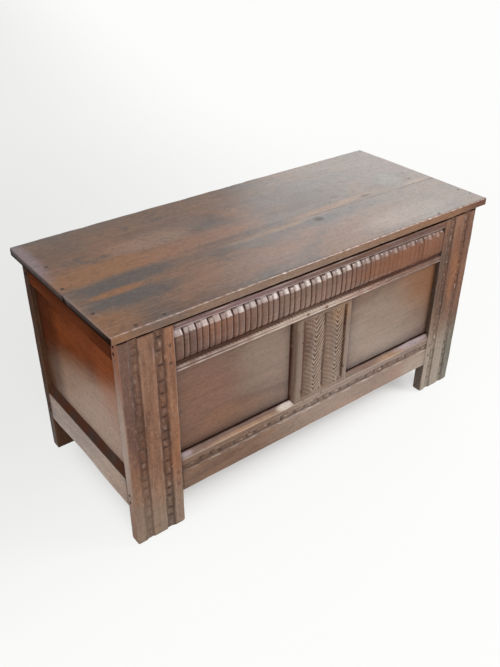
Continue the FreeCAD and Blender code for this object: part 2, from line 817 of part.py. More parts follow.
def lid_batten(side):
    """A batten across the inside of the lid, holding its two boards together."""
    span = batten_span(side)
    bar = block(span[0], span[1], batten_start, batten_end, batten_low, lid_underside)
    return without(bar, batten_nail_bores)


# ---- All sub-parts ---------------------------------------------------------------------------
def front_frame():
    """The front wall's pieces by name."""
    return {
        "front_left_stile": without(stile_solid(front, left_x, front_opening_left, left_channels,
                                                (front_bottom, front_top), left, left_end_names),
                                    front_bores + left_bores),
        "front_right_stile": without(stile_solid(front, right_x, front_opening_right, right_channels,
                                                 (front_bottom, front_top), right, right_end_names),
                                     front_bores + right_bores),
        "front_top_rail": without(front_top_rail_solid(), front_bores),
        "front_bottom_rail": without(front_bottom_rail_solid(), front_bores + bearer_nail_bores),
        "front_muntin": without(front_muntin_solid(), front_bores),
        "front_left_panel": panel(front, front_opening_left, front_muntin.start, bottom_rail_top,
                                  front_top_rail_underside),
        "front_right_panel": panel(front, front_muntin.end, front_opening_right, bottom_rail_top,
                                   front_top_rail_underside),
    }


def back_frame():
    """The back wall's pieces by name."""
    return {
        "rear_left_stile": without(stile_solid(back, left_x, back_opening_left, [],
                                               (back_bottom, back_top), left, left_end_names),
                                   back_bores + left_bores),
        "rear_right_stile": without(stile_solid(back, right_x, back_opening_right, [],
                                                (back_bottom, back_top), right, right_end_names),
                                    back_bores + right_bores),
        "back_top_rail": without(back_rail_solid(back_top, False), back_bores + leaf_nail_bores),
        "back_bottom_rail": without(back_rail_solid(back_bottom, True), back_bores + bearer_nail_bores),
        "back_muntin": without(back_muntin_solid(), back_bores),
        "back_left_panel": panel(back, back_opening_left, back_muntin.start, bottom_rail_top,
                                 front_top_rail_underside),
        "back_right_panel": panel(back, back_muntin.end, back_opening_right, bottom_rail_top,
                                  front_top_rail_underside),
    }


def end_frames():
    """The rails and panels of both ends by name."""
    pieces = {}
    for name, wall, bores in (("left", left, left_bores), ("right", right, right_bores)):
        top_name = name + "_side_top_rail"
        bottom_name = name + "_side_bottom_rail"
        pieces[top_name] = without(end_top_rail_solid(end_rails[top_name]), bores)
        pieces[bottom_name] = without(end_bottom_rail_solid(end_rails[bottom_name]), bores)
        pieces[name + "_side_panel"] = panel(wall, inner_front_y, inner_back_y, bottom_rail_top,
                                             side_top_rail_underside)
    return pieces


def floor_pieces():
    """The floor's boards and bearers by name."""
    pieces = {"floor_board_%d" % (index + 1): floor_board(index) for index in range(floor_board_count)}
    pieces["floor_bearer_front"] = floor_bearer(bearer_front)
    pieces["floor_bearer_back"] = floor_bearer(bearer_back)
    return pieces


def lid_pieces():
    """The lid's boards and battens by name."""
    return {
        "lid_front_board": lid_board(lid_front, -1.0),
        "lid_rear_board": lid_board(lid_back, 1.0),
        "lid_left_batten": lid_batten(-1.0),
        "lid_right_batten": lid_batten(1.0),
    }


def fastener_groups():
    """The groups of identical pegs and nails by name."""
    groups = {
        "front_frame_pegs": wall_pegs([front_top, front_bottom], front_muntin, peg_radius),
        "back_frame_pegs": wall_pegs([back_top, back_bottom], back_muntin, peg_radius),
        "left_side_pegs": end_pegs(left_end_names, peg_radius),
        "right_side_pegs": end_pegs(right_end_names, peg_radius),
        "floor_nails": [nail(tip, head) for tip, head in floor_nail_ends()],
        "floor_bearer_nails": [nail(tip, head) for tip, head in bearer_nail_ends()],
        "lid_batten_nails": [nail(tip, head) for tip, head in batten_nails],
    }
    for name, hinge in hinges.items():
        groups[name + "_leaf_nails"] = [nail(tip, head) for tip, head in hinge.leaf_nail_ends()]
        groups[name + "_strap_nails"] = [nail(tip, head) for tip, head in hinge.strap_nail_ends()]
    return groups


def main():
    """Build every sub-part and write it to its file."""
    os.makedirs("parts", exist_ok=True)
    singles = {}
    for group in (front_frame(), back_frame(), end_frames(), floor_pieces(), lid_pieces()):
        singles.update(group)
    for name, hinge in hinges.items():
        singles[name + "_hinge_leaf"] = hinge.leaf()
        singles[name + "_hinge_strap"] = hinge.strap()
        singles[name + "_hinge_pin"] = hinge.pin()
    for name, solid in singles.items():
        export(name, [solid])
    for name, solids in fastener_groups().items():
        export(name, solids)
    print("sub-parts written:", len(singles) + len(fastener_groups()))


main()
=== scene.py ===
"""A joined oak coffer chest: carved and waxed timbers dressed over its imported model."""
import logging
import math
from collections.abc import Callable, Sequence
from dataclasses import dataclass, field
from enum import Enum
from typing import Any

import bpy
import numpy as np
from mathutils import Matrix, Vector


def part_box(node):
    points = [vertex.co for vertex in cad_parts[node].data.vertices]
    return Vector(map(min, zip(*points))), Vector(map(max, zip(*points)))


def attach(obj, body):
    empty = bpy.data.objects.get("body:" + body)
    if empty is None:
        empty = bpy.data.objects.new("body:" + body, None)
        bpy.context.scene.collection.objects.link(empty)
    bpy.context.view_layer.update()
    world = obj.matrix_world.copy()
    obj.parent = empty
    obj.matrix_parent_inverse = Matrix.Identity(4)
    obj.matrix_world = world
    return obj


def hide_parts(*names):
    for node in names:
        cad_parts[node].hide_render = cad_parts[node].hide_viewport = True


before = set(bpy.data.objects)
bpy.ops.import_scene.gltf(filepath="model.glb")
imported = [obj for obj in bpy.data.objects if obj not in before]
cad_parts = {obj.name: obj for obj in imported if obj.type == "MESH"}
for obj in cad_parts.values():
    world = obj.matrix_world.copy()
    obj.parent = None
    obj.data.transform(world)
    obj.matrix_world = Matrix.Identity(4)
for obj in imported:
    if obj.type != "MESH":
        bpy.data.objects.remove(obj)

log = logging.getLogger("coffer")

Array = np.ndarray
Colour = tuple[float, float, float]
Span = tuple[float, float]
MM = 0.001
CREASE = math.radians(38.0)  # An edge bent by more than this is shaded sharp.
# Painted shade, such as the band under the lid, also goes past 1 and turns to this soot black.
SOOT_AND_SHADE = 1.3  # Dirt past 1 is soot: a matt black that hides the wood.


# ---- Small shared formulas ----
def shade(red: float, green: float, blue: float) -> Colour:
    """A colour given as it looks on a screen, 0 to 255, as the linear colour that shaders use."""
    parts = [c / 255.0 for c in (red, green, blue)]
    return tuple(c / 12.92 if c <= 0.04045 else ((c + 0.055) / 1.055) ** 2.4 for c in parts)


def ripple(seed: int, wavelength: float, *axes: Array) -> Array:
    """A smooth uneven wave, mostly between -1 and 1.

    Formula: the sum of six sines of the coordinates, each with its own direction, phase and a
    wavelength near the one given, divided by the square root of six.

    Args:
        seed: Picks the directions, phases and wavelengths.
        wavelength: The middle wavelength, in metres.
        axes: One coordinate array or more, which broadcast together.

    Returns:
        The wave's height at each point.
    """
    count = 6
    rng = np.random.default_rng(seed)
    total = 0.0
    for _ in range(count):
        way = rng.normal(0.0, 1.0, len(axes))
        way = way / np.linalg.norm(way)
        turn = 2.0 * math.pi / (wavelength * rng.uniform(0.6, 1.7))
        phase = rng.uniform(0.0, 2.0 * math.pi)
        total = total + np.sin(turn * sum(w * a for w, a in zip(way, axes)) + phase)
    return total / math.sqrt(count)


def ramp(low: float, high: float, value: Array) -> Array:
    """A smooth rise from 0 at low to 1 at high: three times the square less twice the cube."""
    share = np.clip((value - low) / (high - low), 0.0, 1.0)
    return share * share * (3.0 - 2.0 * share)


def hump(value: Array, middle: float, half: float) -> Array:
    """A bell that is 1 at the middle and falls as the exponential of the squared distance."""
    return np.exp(-((value - middle) / half) ** 2)


def spaced(*spans: tuple[float, float, float]) -> Array:
    """Rising positions through several stretches that follow one another.

    Args:
        spans: Start, end and step of each stretch, in metres.

    Returns:
        All the positions, with each shared end given once.
    """
    parts = [np.linspace(a, b, max(2, round((b - a) / step) + 1))[:-1] for a, b, step in spans]
    return np.concatenate([*parts, [spans[-1][1]]])


# ---- How a timber lies ----
class Axis(Enum):
    """A direction of the chest's own frame."""

    X = 0
    Y = 1
    Z = 2


class Side(Enum):
    """An end of the chest."""

    LEFT = "left"
    RIGHT = "right"


@dataclass(frozen=True)
class Lay:
    """Which way a timber runs, which way its width goes, and where its worked face is."""

    along: Axis
    across: Axis
    inward: Axis
    face: float
    way: float

    def place(self, along: Array, across: Array, depth: Array) -> Array:
        """Points of the chest's frame for distances along, across and into the timber.

        Args:
            along: Distances along the timber.
            across: Places across it.
            depth: Depths below its worked face.

        Returns:
            The points, their three coordinates last.
        """
        points = np.empty((*np.broadcast(along, across, depth).shape, 3))
        points[..., self.along.value] = along
        points[..., self.across.value] = across
        points[..., self.inward.value] = self.face + self.way * depth
        return points

    def sunk(self, depth: float) -> "Lay":
        """The same lay with its face set back."""
        return Lay(self.along, self.across, self.inward, self.face + self.way * depth, self.way)

    def mirrored(self) -> bool:
        """True if along, across and depth make a left-handed frame.

        Returns:
            Whether the faces have to be turned over.
        """
        rows = np.zeros((3, 3))
        rows[0, self.along.value] = 1.0
        rows[1, self.across.value] = 1.0
        rows[2, self.inward.value] = self.way
        return bool(np.linalg.det(rows) < 0.0)


def node_span(node: str, axis: Axis) -> Span:
    """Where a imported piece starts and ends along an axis."""
    low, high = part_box(node)
    return low[axis.value], high[axis.value]


# ---- Meshes ----
def linked(name: str, data: bpy.types.ID) -> bpy.types.Object:
    """A new object that holds the data, in the scene.

    Args:
        name: The object's name.
        data: Its mesh, light or camera.

    Returns:
        The object.
    """
    made = bpy.data.objects.new(name, data)
    bpy.context.scene.collection.objects.link(made)
    return made


def mesh_object(name: str, points: Array, faces: Array, caps: Sequence[Array],
                marks: dict[str, Array]) -> bpy.types.Object:
    """A smooth-shaded object from whole arrays.

    Args:
        name: The object's name.
        points: Vertex positions, one row each.
        faces: Four vertex numbers per row.
        caps: The vertex numbers of each flat end face.
        marks: Named numbers per vertex that the finish reads.

    Returns:
        The new object, linked to the scene.
    """
    mesh = bpy.data.meshes.new(name)
    mesh.vertices.add(len(points))
    mesh.vertices.foreach_set("co", np.ascontiguousarray(points, np.float32).ravel())
    corners = np.concatenate([faces.ravel(), *caps]).astype(np.int32)
    sizes = np.concatenate([np.full(len(faces), 4), [len(cap) for cap in caps]]).astype(np.int32)
    mesh.loops.add(len(corners))
    mesh.loops.foreach_set("vertex_index", corners)
    mesh.polygons.add(len(sizes))
    mesh.polygons.foreach_set("loop_start", np.concatenate([[0], np.cumsum(sizes)[:-1]]).astype(np.int32))
    mesh.polygons.foreach_set("use_smooth", np.ones(len(sizes), bool))
    mesh.update(calc_edges=True)
    mesh.validate()
    mesh.set_sharp_from_angle(angle=CREASE)
    for mark, values in marks.items():
        layer = mesh.attributes.new(mark, "FLOAT", "POINT")
        layer.data.foreach_set("value", np.ascontiguousarray(values, np.float32).ravel())
    return linked(name, mesh)


def loft_faces(rings: int, around: int, flipped: bool) -> tuple[Array, list[Array]]:
    """The side faces and two end caps of closed rings that follow one another.

    Formula: ring i and place k make the face (i, k), (i, k+1), (i+1, k+1), (i+1, k), where k+1
    wraps round.

    Args:
        rings: How many rings there are.
        around: How many points each ring has.
        flipped: True to turn every face over.

    Returns:
        The quads and the two caps.
    """
    i = np.arange(rings - 1)[:, None]
    k = np.arange(around)[None, :]
    after = (k + 1) % around
    quads = np.stack([i * around + k, i * around + after, (i + 1) * around + after,
                      (i + 1) * around + k], axis=-1).reshape(-1, 4)
    near = np.arange(around)[::-1]
    far = np.arange(around) + (rings - 1) * around
    if flipped:
        return quads[:, ::-1], [near[::-1], far[::-1]]
    return quads, [near, far]


@dataclass
class Relief:
    """What is done to a timber's face at each point: how deep it is cut, how dark from dirt and painted
    shade, and how pale from worn spots and painted highlights.
    """

    depth: Array
    grime_and_shade: Array
    wear_and_highlight: Array

    @classmethod
    def plain(cls, along: Array, across: Array) -> "Relief":
        """An untouched face."""
        zero = np.zeros(np.broadcast(along, across).shape)
        return cls(zero, zero.copy(), zero.copy())


@dataclass
class Timber:
    """One squared piece of oak: rounded-rectangle sections carried along its length.

    The length, width and depth are those of its Lay. Width may taper from one end to the other.
    """

    name: str
    node: str
    lay: Lay
    length: Span
    width: Span
    thickness: float
    seed: int
    width_at_end: Span | None = None
    arris: float = 1.5 * MM
    back_arris: float = 1.0 * MM
    end_face_round: float = 1.0 * MM
    end_back_round: float = 1.0 * MM
    end_side_round: float = 1.0 * MM
    step_along: float = 8.0 * MM
    step_across: float = 8.0 * MM
    unevenness: float = 0.25 * MM
    nick_count: int = 5
    nick_size: float = 1.3 * MM
    end_dirt: tuple[float, float] = (0.7, 0.7)
    side_dirt: tuple[float, float] = (0.0, 0.0)
    dirt_reach: float = 5.0 * MM
    edge_wear: tuple[float, float] = (1.0, 1.0)
    wear_break: float = 0.25
    wear_length: float = 90.0 * MM
    end_wear: float = 0.0
    end_shadow: float = 0.0
    shade_above: float | None = None
    shade_fall: float = 0.0

    CORNER_STEPS = 4
    END_STEPS = 5
    SIDE_STEP = 6.0 * MM
    BACK_STEP = 14.0 * MM
    LEAST_ARRIS = 0.3 * MM
    BACK_WEAR = 0.4
    WAVE = 160.0 * MM
    END_WEAR_REACH = 2.2 * MM
    END_WEAR_DEPTH = 3.0 * MM
    SHADE_BLUR = 1.2 * MM
    SHADE_DEPTH = (4.5 * MM, 2.5 * MM)
    UNDER_DEPTH = (2.0 * MM, 4.5 * MM)
    UNDER_REACH = (3.0 * MM, 1.0 * MM)

    @classmethod
    def fitted(cls, name: str, node: str, lay: Lay, seed: int, **sizes: Any) -> "Timber":
        """A timber with the length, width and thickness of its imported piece, unless others are given.

        Args:
            name: The new piece's name.
            node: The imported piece.
            lay: How the timber lies.
            seed: Picks its unevenness and its pattern.
            sizes: Any of the other fields.

        Returns:
            The timber, not yet built.
        """
        low, high = node_span(node, lay.inward)
        packed = {"length": node_span(node, lay.along), "width": node_span(node, lay.across),
                  "thickness": high - low}
        return cls(name, node, lay, seed=seed, **(packed | sizes))

    def stations(self) -> Array:
        """Places along the length, close together where the ends round over.

        Returns:
            Rising places along the timber.
        """
        low, high = self.length
        reach = max(self.end_face_round, self.end_back_round, self.end_side_round)
        turn = np.linspace(0.0, math.pi / 2.0, self.END_STEPS)
        start = low + reach * (1.0 - np.cos(turn))
        middle = self.middle_stations(low + reach, high - reach)
        return np.unique(np.concatenate([start, middle, low + high - start]).round(7))

    def middle_stations(self, low: float, high: float) -> Array:
        """Places between the two rounded ends."""
        return spaced((low, high, self.step_along))

    def rows(self) -> Array:
        """Places across the worked face."""
        return spaced((*self.width, self.step_across))

    def share(self, along: Array) -> Array:
        """How far along the length a place is, from 0 to 1."""
        return (along - self.length[0]) / (self.length[1] - self.length[0])

    def limits(self, along: Array) -> tuple[Array, Array]:
        """The two edges of the width at each place along, which taper in a straight line.

        Args:
            along: Places along it.

        Returns:
            The low edge and the high edge.
        """
        share = self.share(along)
        end = self.width_at_end or self.width
        return tuple(a + (b - a) * share for a, b in zip(self.width, end))

    def relief(self, along: Array, across: Array) -> Relief:
        """The cutting on the worked face. A plain timber has none."""
        return Relief.plain(along, across)

    def arris_radius(self, along: Array, edge: int, base: float) -> Array:
        """The radius of one long edge: uneven along its length, with a few dents.

        Formula: the base radius times one plus a third of a slow ripple, plus narrow bells at
        random places.

        Args:
            along: Places along it.
            edge: Which long edge, counted round from the face's low one.
            base: The radius of an unworn edge.

        Returns:
            The radius at each place.
        """
        rng = np.random.default_rng(self.seed * 17 + edge)
        radius = base * (1.0 + 0.3 * ripple(self.seed * 13 + edge, 0.12, along))
        for _ in range(self.nick_count):
            middle = rng.uniform(*self.length)
            dent = min(base, self.nick_size) * rng.uniform(0.3, 1.2)
            radius = radius + dent * hump(along, middle, rng.uniform(2.0, 8.0) * MM)
        return np.maximum(radius, self.LEAST_ARRIS)

    def ring(self, along: Array) -> tuple[Array, Array, Array]:
        """The section's outline at every station, before it is carved.

        Formula: a rectangle whose four corners are quarter circles of their own radii. It starts
        at the low edge of the face, crosses the face, and goes round the back.

        Args:
            along: Stations, as a column.

        Returns:
            Places across, depths, and how much each point belongs to a worn corner.
        """
        low, high = self.limits(along)
        thick = self.thickness
        radii = [self.arris_radius(along, edge, self.arris if edge < 2 else self.back_arris)
                 for edge in range(4)]
        face_low, face_high, back_high, back_low = radii
        rows = self.rows()
        share = ((rows - rows[0]) / (rows[-1] - rows[0]))[None, :]
        turn = np.linspace(0.0, math.pi / 2.0, self.CORNER_STEPS + 1)[None, :]
        side = np.linspace(0.0, 1.0, max(2, round(thick / self.SIDE_STEP)) + 1)[None, 1:-1]
        coarse = np.linspace(0.0, 1.0, max(3, round((rows[-1] - rows[0]) / self.BACK_STEP)))[None, 1:-1]
        first, rest = turn[:, 1:], turn[:, 1:-1]
        one = np.ones_like(along)
        across = [low + face_low + share * (high - low - face_low - face_high),
                  high - face_high + face_high * np.sin(first),
                  high * np.ones_like(side),
                  high - back_high + back_high * np.cos(turn),
                  high - back_high - coarse * (high - low - back_high - back_low),
                  low + back_low - back_low * np.sin(turn),
                  low * np.ones_like(side),
                  low * one,
                  low + face_low - face_low * np.cos(rest)]
        depth = [0.0 * share * one,
                 face_high - face_high * np.cos(first),
                 face_high + side * (thick - face_high - back_high),
                 thick - back_high + back_high * np.sin(turn),
                 thick * np.ones_like(coarse) * one,
                 thick - back_low + back_low * np.cos(turn),
                 thick - back_low - side * (thick - face_low - back_low),
                 face_low,
                 face_low - face_low * np.sin(rest)]
        low_wear, high_wear = self.edge_wear
        back_wear = self.BACK_WEAR * np.sin(2.0 * turn)
        corner = [np.zeros_like(share), high_wear * np.sin(2.0 * first), np.zeros_like(side),
                  back_wear, np.zeros_like(coarse), back_wear,
                  np.zeros_like(side), np.zeros((1, 1)), low_wear * np.sin(2.0 * rest)]
        count = len(along)
        return tuple(
            np.concatenate([np.broadcast_to(part, (count, part.shape[-1])) for part in parts], axis=1)
            for parts in (across, depth, corner))

    def end_inset(self, along: Array, radius: float) -> Array:
        """How far a surface draws in near either end: the radius less the height of its circle.

        Args:
            along: Places along it.
            radius: The radius of the rounded end.

        Returns:
            How far in, at each place.
        """
        if radius <= 0.0:
            return np.zeros_like(along)
        near = np.minimum(along - self.length[0], self.length[1] - along)
        left = np.clip(radius - near, 0.0, radius)
        return radius - np.sqrt(np.maximum(radius * radius - left * left, 0.0))

    def reshape(self, along: Array, across: Array, depth: Array) -> tuple[Array, Array, Array]:
        """A last change to all the points, for timbers whose ends are cut to fit."""
        return along, across, depth

    def surface(self) -> tuple[Array, Array, Array]:
        """Every point of the timber, with its dirt and painted shade, and its worn spots and painted
        highlights.

        Formula: the ring at each station, sunk by the relief in proportion to how near a point
        is to the face, drawn in where the ends round over, and shifted by a slow ripple.

        Returns:
            The points, their dirt with painted shade, and their worn spots with painted highlights.
        """
        along = self.stations()[:, None]
        across, depth, corner = self.ring(along)
        cut = self.relief(along, across)
        near_face = np.clip(1.0 - depth / self.thickness, 0.0, 1.0)
        low, high = self.limits(along)
        middle, half = (low + high) / 2.0, (high - low) / 2.0
        waving = 1.0 + ripple(self.seed, self.WAVE, along, across * 2.0)
        sink = cut.depth + self.unevenness * waving / 2.0
        depth = depth + sink * near_face
        across = middle + (across - middle) * (1.0 - self.end_inset(along, self.end_side_round) / half)
        share = depth / self.thickness
        depth = (depth + self.end_inset(along, self.end_face_round) * (1.0 - share)
                 - self.end_inset(along, self.end_back_round) * share)
        after, before = along - self.length[0], self.length[1] - along
        near_ends = (self.end_dirt[0] * np.exp(-after / self.dirt_reach)
                     + self.end_dirt[1] * np.exp(-before / self.dirt_reach))
        near_sides = (self.side_dirt[0] * np.exp(-np.abs(across - low) / self.dirt_reach)
                      + self.side_dirt[1] * np.exp(-np.abs(high - across) / self.dirt_reach))
        grime_and_shade = np.clip(cut.grime_and_shade * near_face, 0.0, SOOT_AND_SHADE)
        grime_and_shade = np.maximum(grime_and_shade, np.clip(grime_and_shade + near_ends + near_sides, 0.0, 1.0))
        # Painted shadow: a soot-dark band on the face below the lid's overhang.
        if self.shade_above is not None:
            height = along if self.lay.along is Axis.Z else across
            edge = self.shade_above - self.shade_fall * self.share(along)
            shaded = ramp(-self.SHADE_BLUR, self.SHADE_BLUR, height - edge)
            grime_and_shade = np.maximum(grime_and_shade, SOOT_AND_SHADE * shaded * ramp(*self.SHADE_DEPTH, depth - sink))
        patchy = 1.0 - ripple(self.seed + 5, self.wear_length, along + 0.0 * across)
        rubbed = 1.0 - self.wear_break * patchy
        wear_and_highlight = np.clip(np.maximum(corner * rubbed, cut.wear_and_highlight * near_face), 0.0, 1.0)
        near = np.minimum(after, before)
        at_end = np.exp(-near / self.END_WEAR_REACH) * hump(depth, 0.0, self.END_WEAR_DEPTH)
        wear_and_highlight = np.maximum(wear_and_highlight, self.end_wear * at_end * rubbed)
        # Painted shade: end faces are darkened below their top arris.
        under = ramp(*self.UNDER_DEPTH, depth) * ramp(*self.UNDER_REACH, near)
        grime_and_shade = np.maximum(grime_and_shade, self.end_shadow * under)
        along, across, depth = self.reshape(along + 0.0 * across, across, depth)
        return self.lay.place(along, across, depth), grime_and_shade, wear_and_highlight

    def build(self, finish: "Oak", surface_marks: Sequence["Mark"] = (), body: str = "case") -> None:
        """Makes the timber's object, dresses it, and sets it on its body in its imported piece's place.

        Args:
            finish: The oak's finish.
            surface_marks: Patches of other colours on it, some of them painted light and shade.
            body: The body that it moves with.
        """
        points, grime_and_shade, wear_and_highlight = self.surface()
        quads, caps = loft_faces(*points.shape[:2], self.lay.mirrored())
        made = mesh_object(self.name, points.reshape(-1, 3), quads, caps,
                           {"grime_and_shade": grime_and_shade.ravel(), "wear_and_highlight": wear_and_highlight.ravel()})
        made.data.materials.append(finish.material(self.name + "_oak", self.lay.along, self.seed, surface_marks))
        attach(made, body)
        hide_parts(self.node)
        log.info("%s: %d faces, on %s", made.name, len(made.data.polygons), body)


# ---- Shader writing ----
def operator(operation: str, swapped: bool = False) -> Callable[["Wire", Any], "Wire"]:
    """A method that joins a wire and another term by a Math node, the other one first if swapped.

    Args:
        operation: The Math node's operation.
        swapped: True to put the other term first.

    Returns:
        The method.
    """

    def joined(wire: "Wire", other: Any) -> "Wire":
        """The Math node's result."""
        terms = (other, wire) if swapped else (wire, other)
        return wire.board.node("ShaderNodeMath", {"operation": operation}, dict(enumerate(terms)))

    return joined


class Wire:
    """One output socket that can be used in arithmetic: each operation adds a Math node."""

    def __init__(self, board: "Board", socket: bpy.types.NodeSocket) -> None:
        """Wraps a socket of a board's node tree."""
        self.board = board
        self.socket = socket

    __add__ = __radd__ = operator("ADD")
    __sub__ = operator("SUBTRACT")
    __rsub__ = operator("SUBTRACT", True)
    __mul__ = __rmul__ = operator("MULTIPLY")
    __truediv__ = operator("DIVIDE")
    __pow__ = operator("POWER")
    most = operator("MAXIMUM")

    def sine(self) -> "Wire":
        """The sine of this."""
        return self.board.node("ShaderNodeMath", {"operation": "SINE"}, {0: self})

    def kept(self) -> "Wire":
        """This, held between 0 and 1."""
        return self.board.node("ShaderNodeClamp", {}, {0: self})

    def step(self, low: float, high: float) -> "Wire":
        """A smooth rise from 0 at low to 1 at high."""
        return self.board.node("ShaderNodeMapRange", {"interpolation_type": "SMOOTHSTEP"},
                               {0: self, 1: low, 2: high})

    def band(self, near: float, far: float) -> "Wire":
        """One within near of zero on either side, falling to 0 at far."""
        return self.step(-far, -near) * (1.0 - self.step(near, far))


class Board:
    """A node tree that is being written, for a material or the world."""

    def __init__(self, tree: bpy.types.NodeTree) -> None:
        """Starts from an empty tree."""
        self.tree = tree
        tree.nodes.clear()

    def node(self, kind: str, settings: dict[str, Any], values: dict[int | str, Any],
             output: int | str = 0) -> Wire:
        """Adds one node.

        Args:
            kind: The node's type.
            settings: Its own properties, set before its sockets.
            values: Numbers, vectors, colours or wires for its input sockets.
            output: Which output the returned wire carries.

        Returns:
            The wire of that output.
        """
        made = self.tree.nodes.new(kind)
        for key, value in settings.items():
            setattr(made, key, value)
        for key, value in values.items():
            if isinstance(value, Wire):
                self.tree.links.new(value.socket, made.inputs[key])
            else:
                wanted = made.inputs[key]
                short = wanted.type == "RGBA" and len(value) == 3
                wanted.default_value = (*value, 1.0) if short else value
        return Wire(self, made.outputs[output]) if made.outputs else None

    def place(self) -> Wire:
        """Each point's place on the piece."""
        return self.node("ShaderNodeTexCoord", {}, {}, "Object")

    def mark(self, name: str) -> Wire:
        """A number that the mesh carries at each point."""
        return self.node("ShaderNodeAttribute", {"attribute_name": name}, {}, "Fac")

    def stretched(self, place: Wire, scale: Sequence[float], shift: Sequence[float]) -> Wire:
        """A place multiplied by a scale and moved by a shift."""
        scaled = self.node("ShaderNodeVectorMath", {"operation": "MULTIPLY"}, {0: place, 1: scale})
        return self.node("ShaderNodeVectorMath", {"operation": "ADD"}, {0: scaled, 1: shift})

    def noise(self, place: Wire, scale: float, detail: float = 3.0, roughness: float = 0.55,
              distortion: float = 0.0) -> Wire:
        """Soft random clouds between 0 and 1."""
        return self.node("ShaderNodeTexNoise", {}, {"Vector": place, "Scale": scale, "Detail": detail,
                                                    "Roughness": roughness, "Distortion": distortion})

    def mix(self, share: Any, first: Any, second: Any) -> Wire:
        """Two colours mixed: all first where the share is 0 and all second where it is 1."""
        return self.node("ShaderNodeMix", {"data_type": "RGBA"}, {0: share, 6: first, 7: second}, 2)

    def axes(self, place: Wire) -> list[Wire]:
        """The three coordinates of a place."""
        split = self.node("ShaderNodeSeparateXYZ", {}, {0: place})
        return [Wire(self, socket) for socket in split.socket.node.outputs]

    def layered(self, colour: Wire, *layers: tuple[Wire, Colour]) -> Wire:
        """A colour with others laid over it in order, each by its share.

        Args:
            colour: The lowest colour.
            layers: Each layer's share and colour.

        Returns:
            The colour with every layer on it.
        """
        for share, over in layers:
            colour = self.mix(share, colour, over)
        return colour

    def bump(self, height: Wire, distance: float, strength: float) -> Wire:
        """A normal that is tilted by a height."""
        return self.node("ShaderNodeBump", {}, {"Strength": strength, "Distance": distance,
                                                "Height": height})


def new_material(name: str) -> tuple[bpy.types.Material, Board]:
    """A material and the empty board of its nodes.

    Args:
        name: The material's name.

    Returns:
        The material and its board.
    """
    made = bpy.data.materials.new(name)
    made.use_nodes = True
    return made, Board(made.node_tree)


# ---- Finishes ----
class Mark:
    """Something that colours part of a surface: it gives the share of its colour at each point."""

    colour: Colour
    gloss: float | None = None

    def share(self, board: Board, place: Wire, cloud: Wire) -> Wire:
        """How much of the mark's colour lies at each point."""
        raise NotImplementedError


@dataclass(frozen=True)
class Patch(Mark):
    """A soft-edged patch about an oval, in the plane of two axes."""

    axes: tuple[Axis, Axis]
    middle: tuple[float, float]
    reach: tuple[float, float]
    colour: Colour
    strength: float = 0.8
    ragged: float = 0.8
    soft: float = 0.5
    gloss: float | None = None

    def share(self, board: Board, place: Wire, cloud: Wire) -> Wire:
        """Falls off with the oval distance from the middle, pushed about by the cloud.

        Args:
            board: The board to write on.
            place: Each point's place.
            cloud: Soft noise that makes the edge uneven.

        Returns:
            The share, at most the strength.
        """
        parts = board.axes(place)
        u, v = (parts[axis.value] for axis in self.axes)
        first = ((u - self.middle[0]) / self.reach[0]) ** 2.0
        second = ((v - self.middle[1]) / self.reach[1]) ** 2.0
        far = (first + second) ** 0.5 + (cloud - 0.5) * (2.0 * self.ragged)
        return (1.0 - far.step(1.0 - self.soft, 1.0 + self.soft)) * self.strength


@dataclass(frozen=True)
class Wash(Mark):
    """A colour that fills one side of a slanting line, with a soft edge."""

    slope: tuple[float, float, float]
    low: float
    high: float
    colour: Colour
    strength: float = 0.8
    ragged: float = 0.05
    gloss: float | None = None

    def share(self, board: Board, place: Wire, cloud: Wire) -> Wire:
        """Rises along the slope, pushed about by the cloud.

        Args:
            board: The board to write on.
            place: Each point's place.
            cloud: Soft noise that makes the edge uneven.

        Returns:
            The share, at most the strength.
        """
        x, y, z = board.axes(place)
        height = x * self.slope[0] + y * self.slope[1] + z * self.slope[2]
        return (height + (cloud - 0.5) * self.ragged).step(self.low, self.high) * self.strength


@dataclass(frozen=True)
class Within(Mark):
    """A mark that shows only where another one lies."""

    mark: Mark
    place: Mark

    @property
    def colour(self) -> Colour:
        """The shown mark's colour."""
        return self.mark.colour

    def share(self, board: Board, place: Wire, cloud: Wire) -> Wire:
        """The two shares multiplied."""
        return self.mark.share(board, place, cloud) * self.place.share(board, place, cloud)


def patches(plane: tuple[Axis, Axis], rows: Sequence[tuple[Any, ...]]) -> list[Mark]:
    """Patches from rows of the middle and the reach along two axes, the colour, and what follows it."""
    return [Patch(plane, row[:2], row[2:4], *row[4:]) for row in rows]


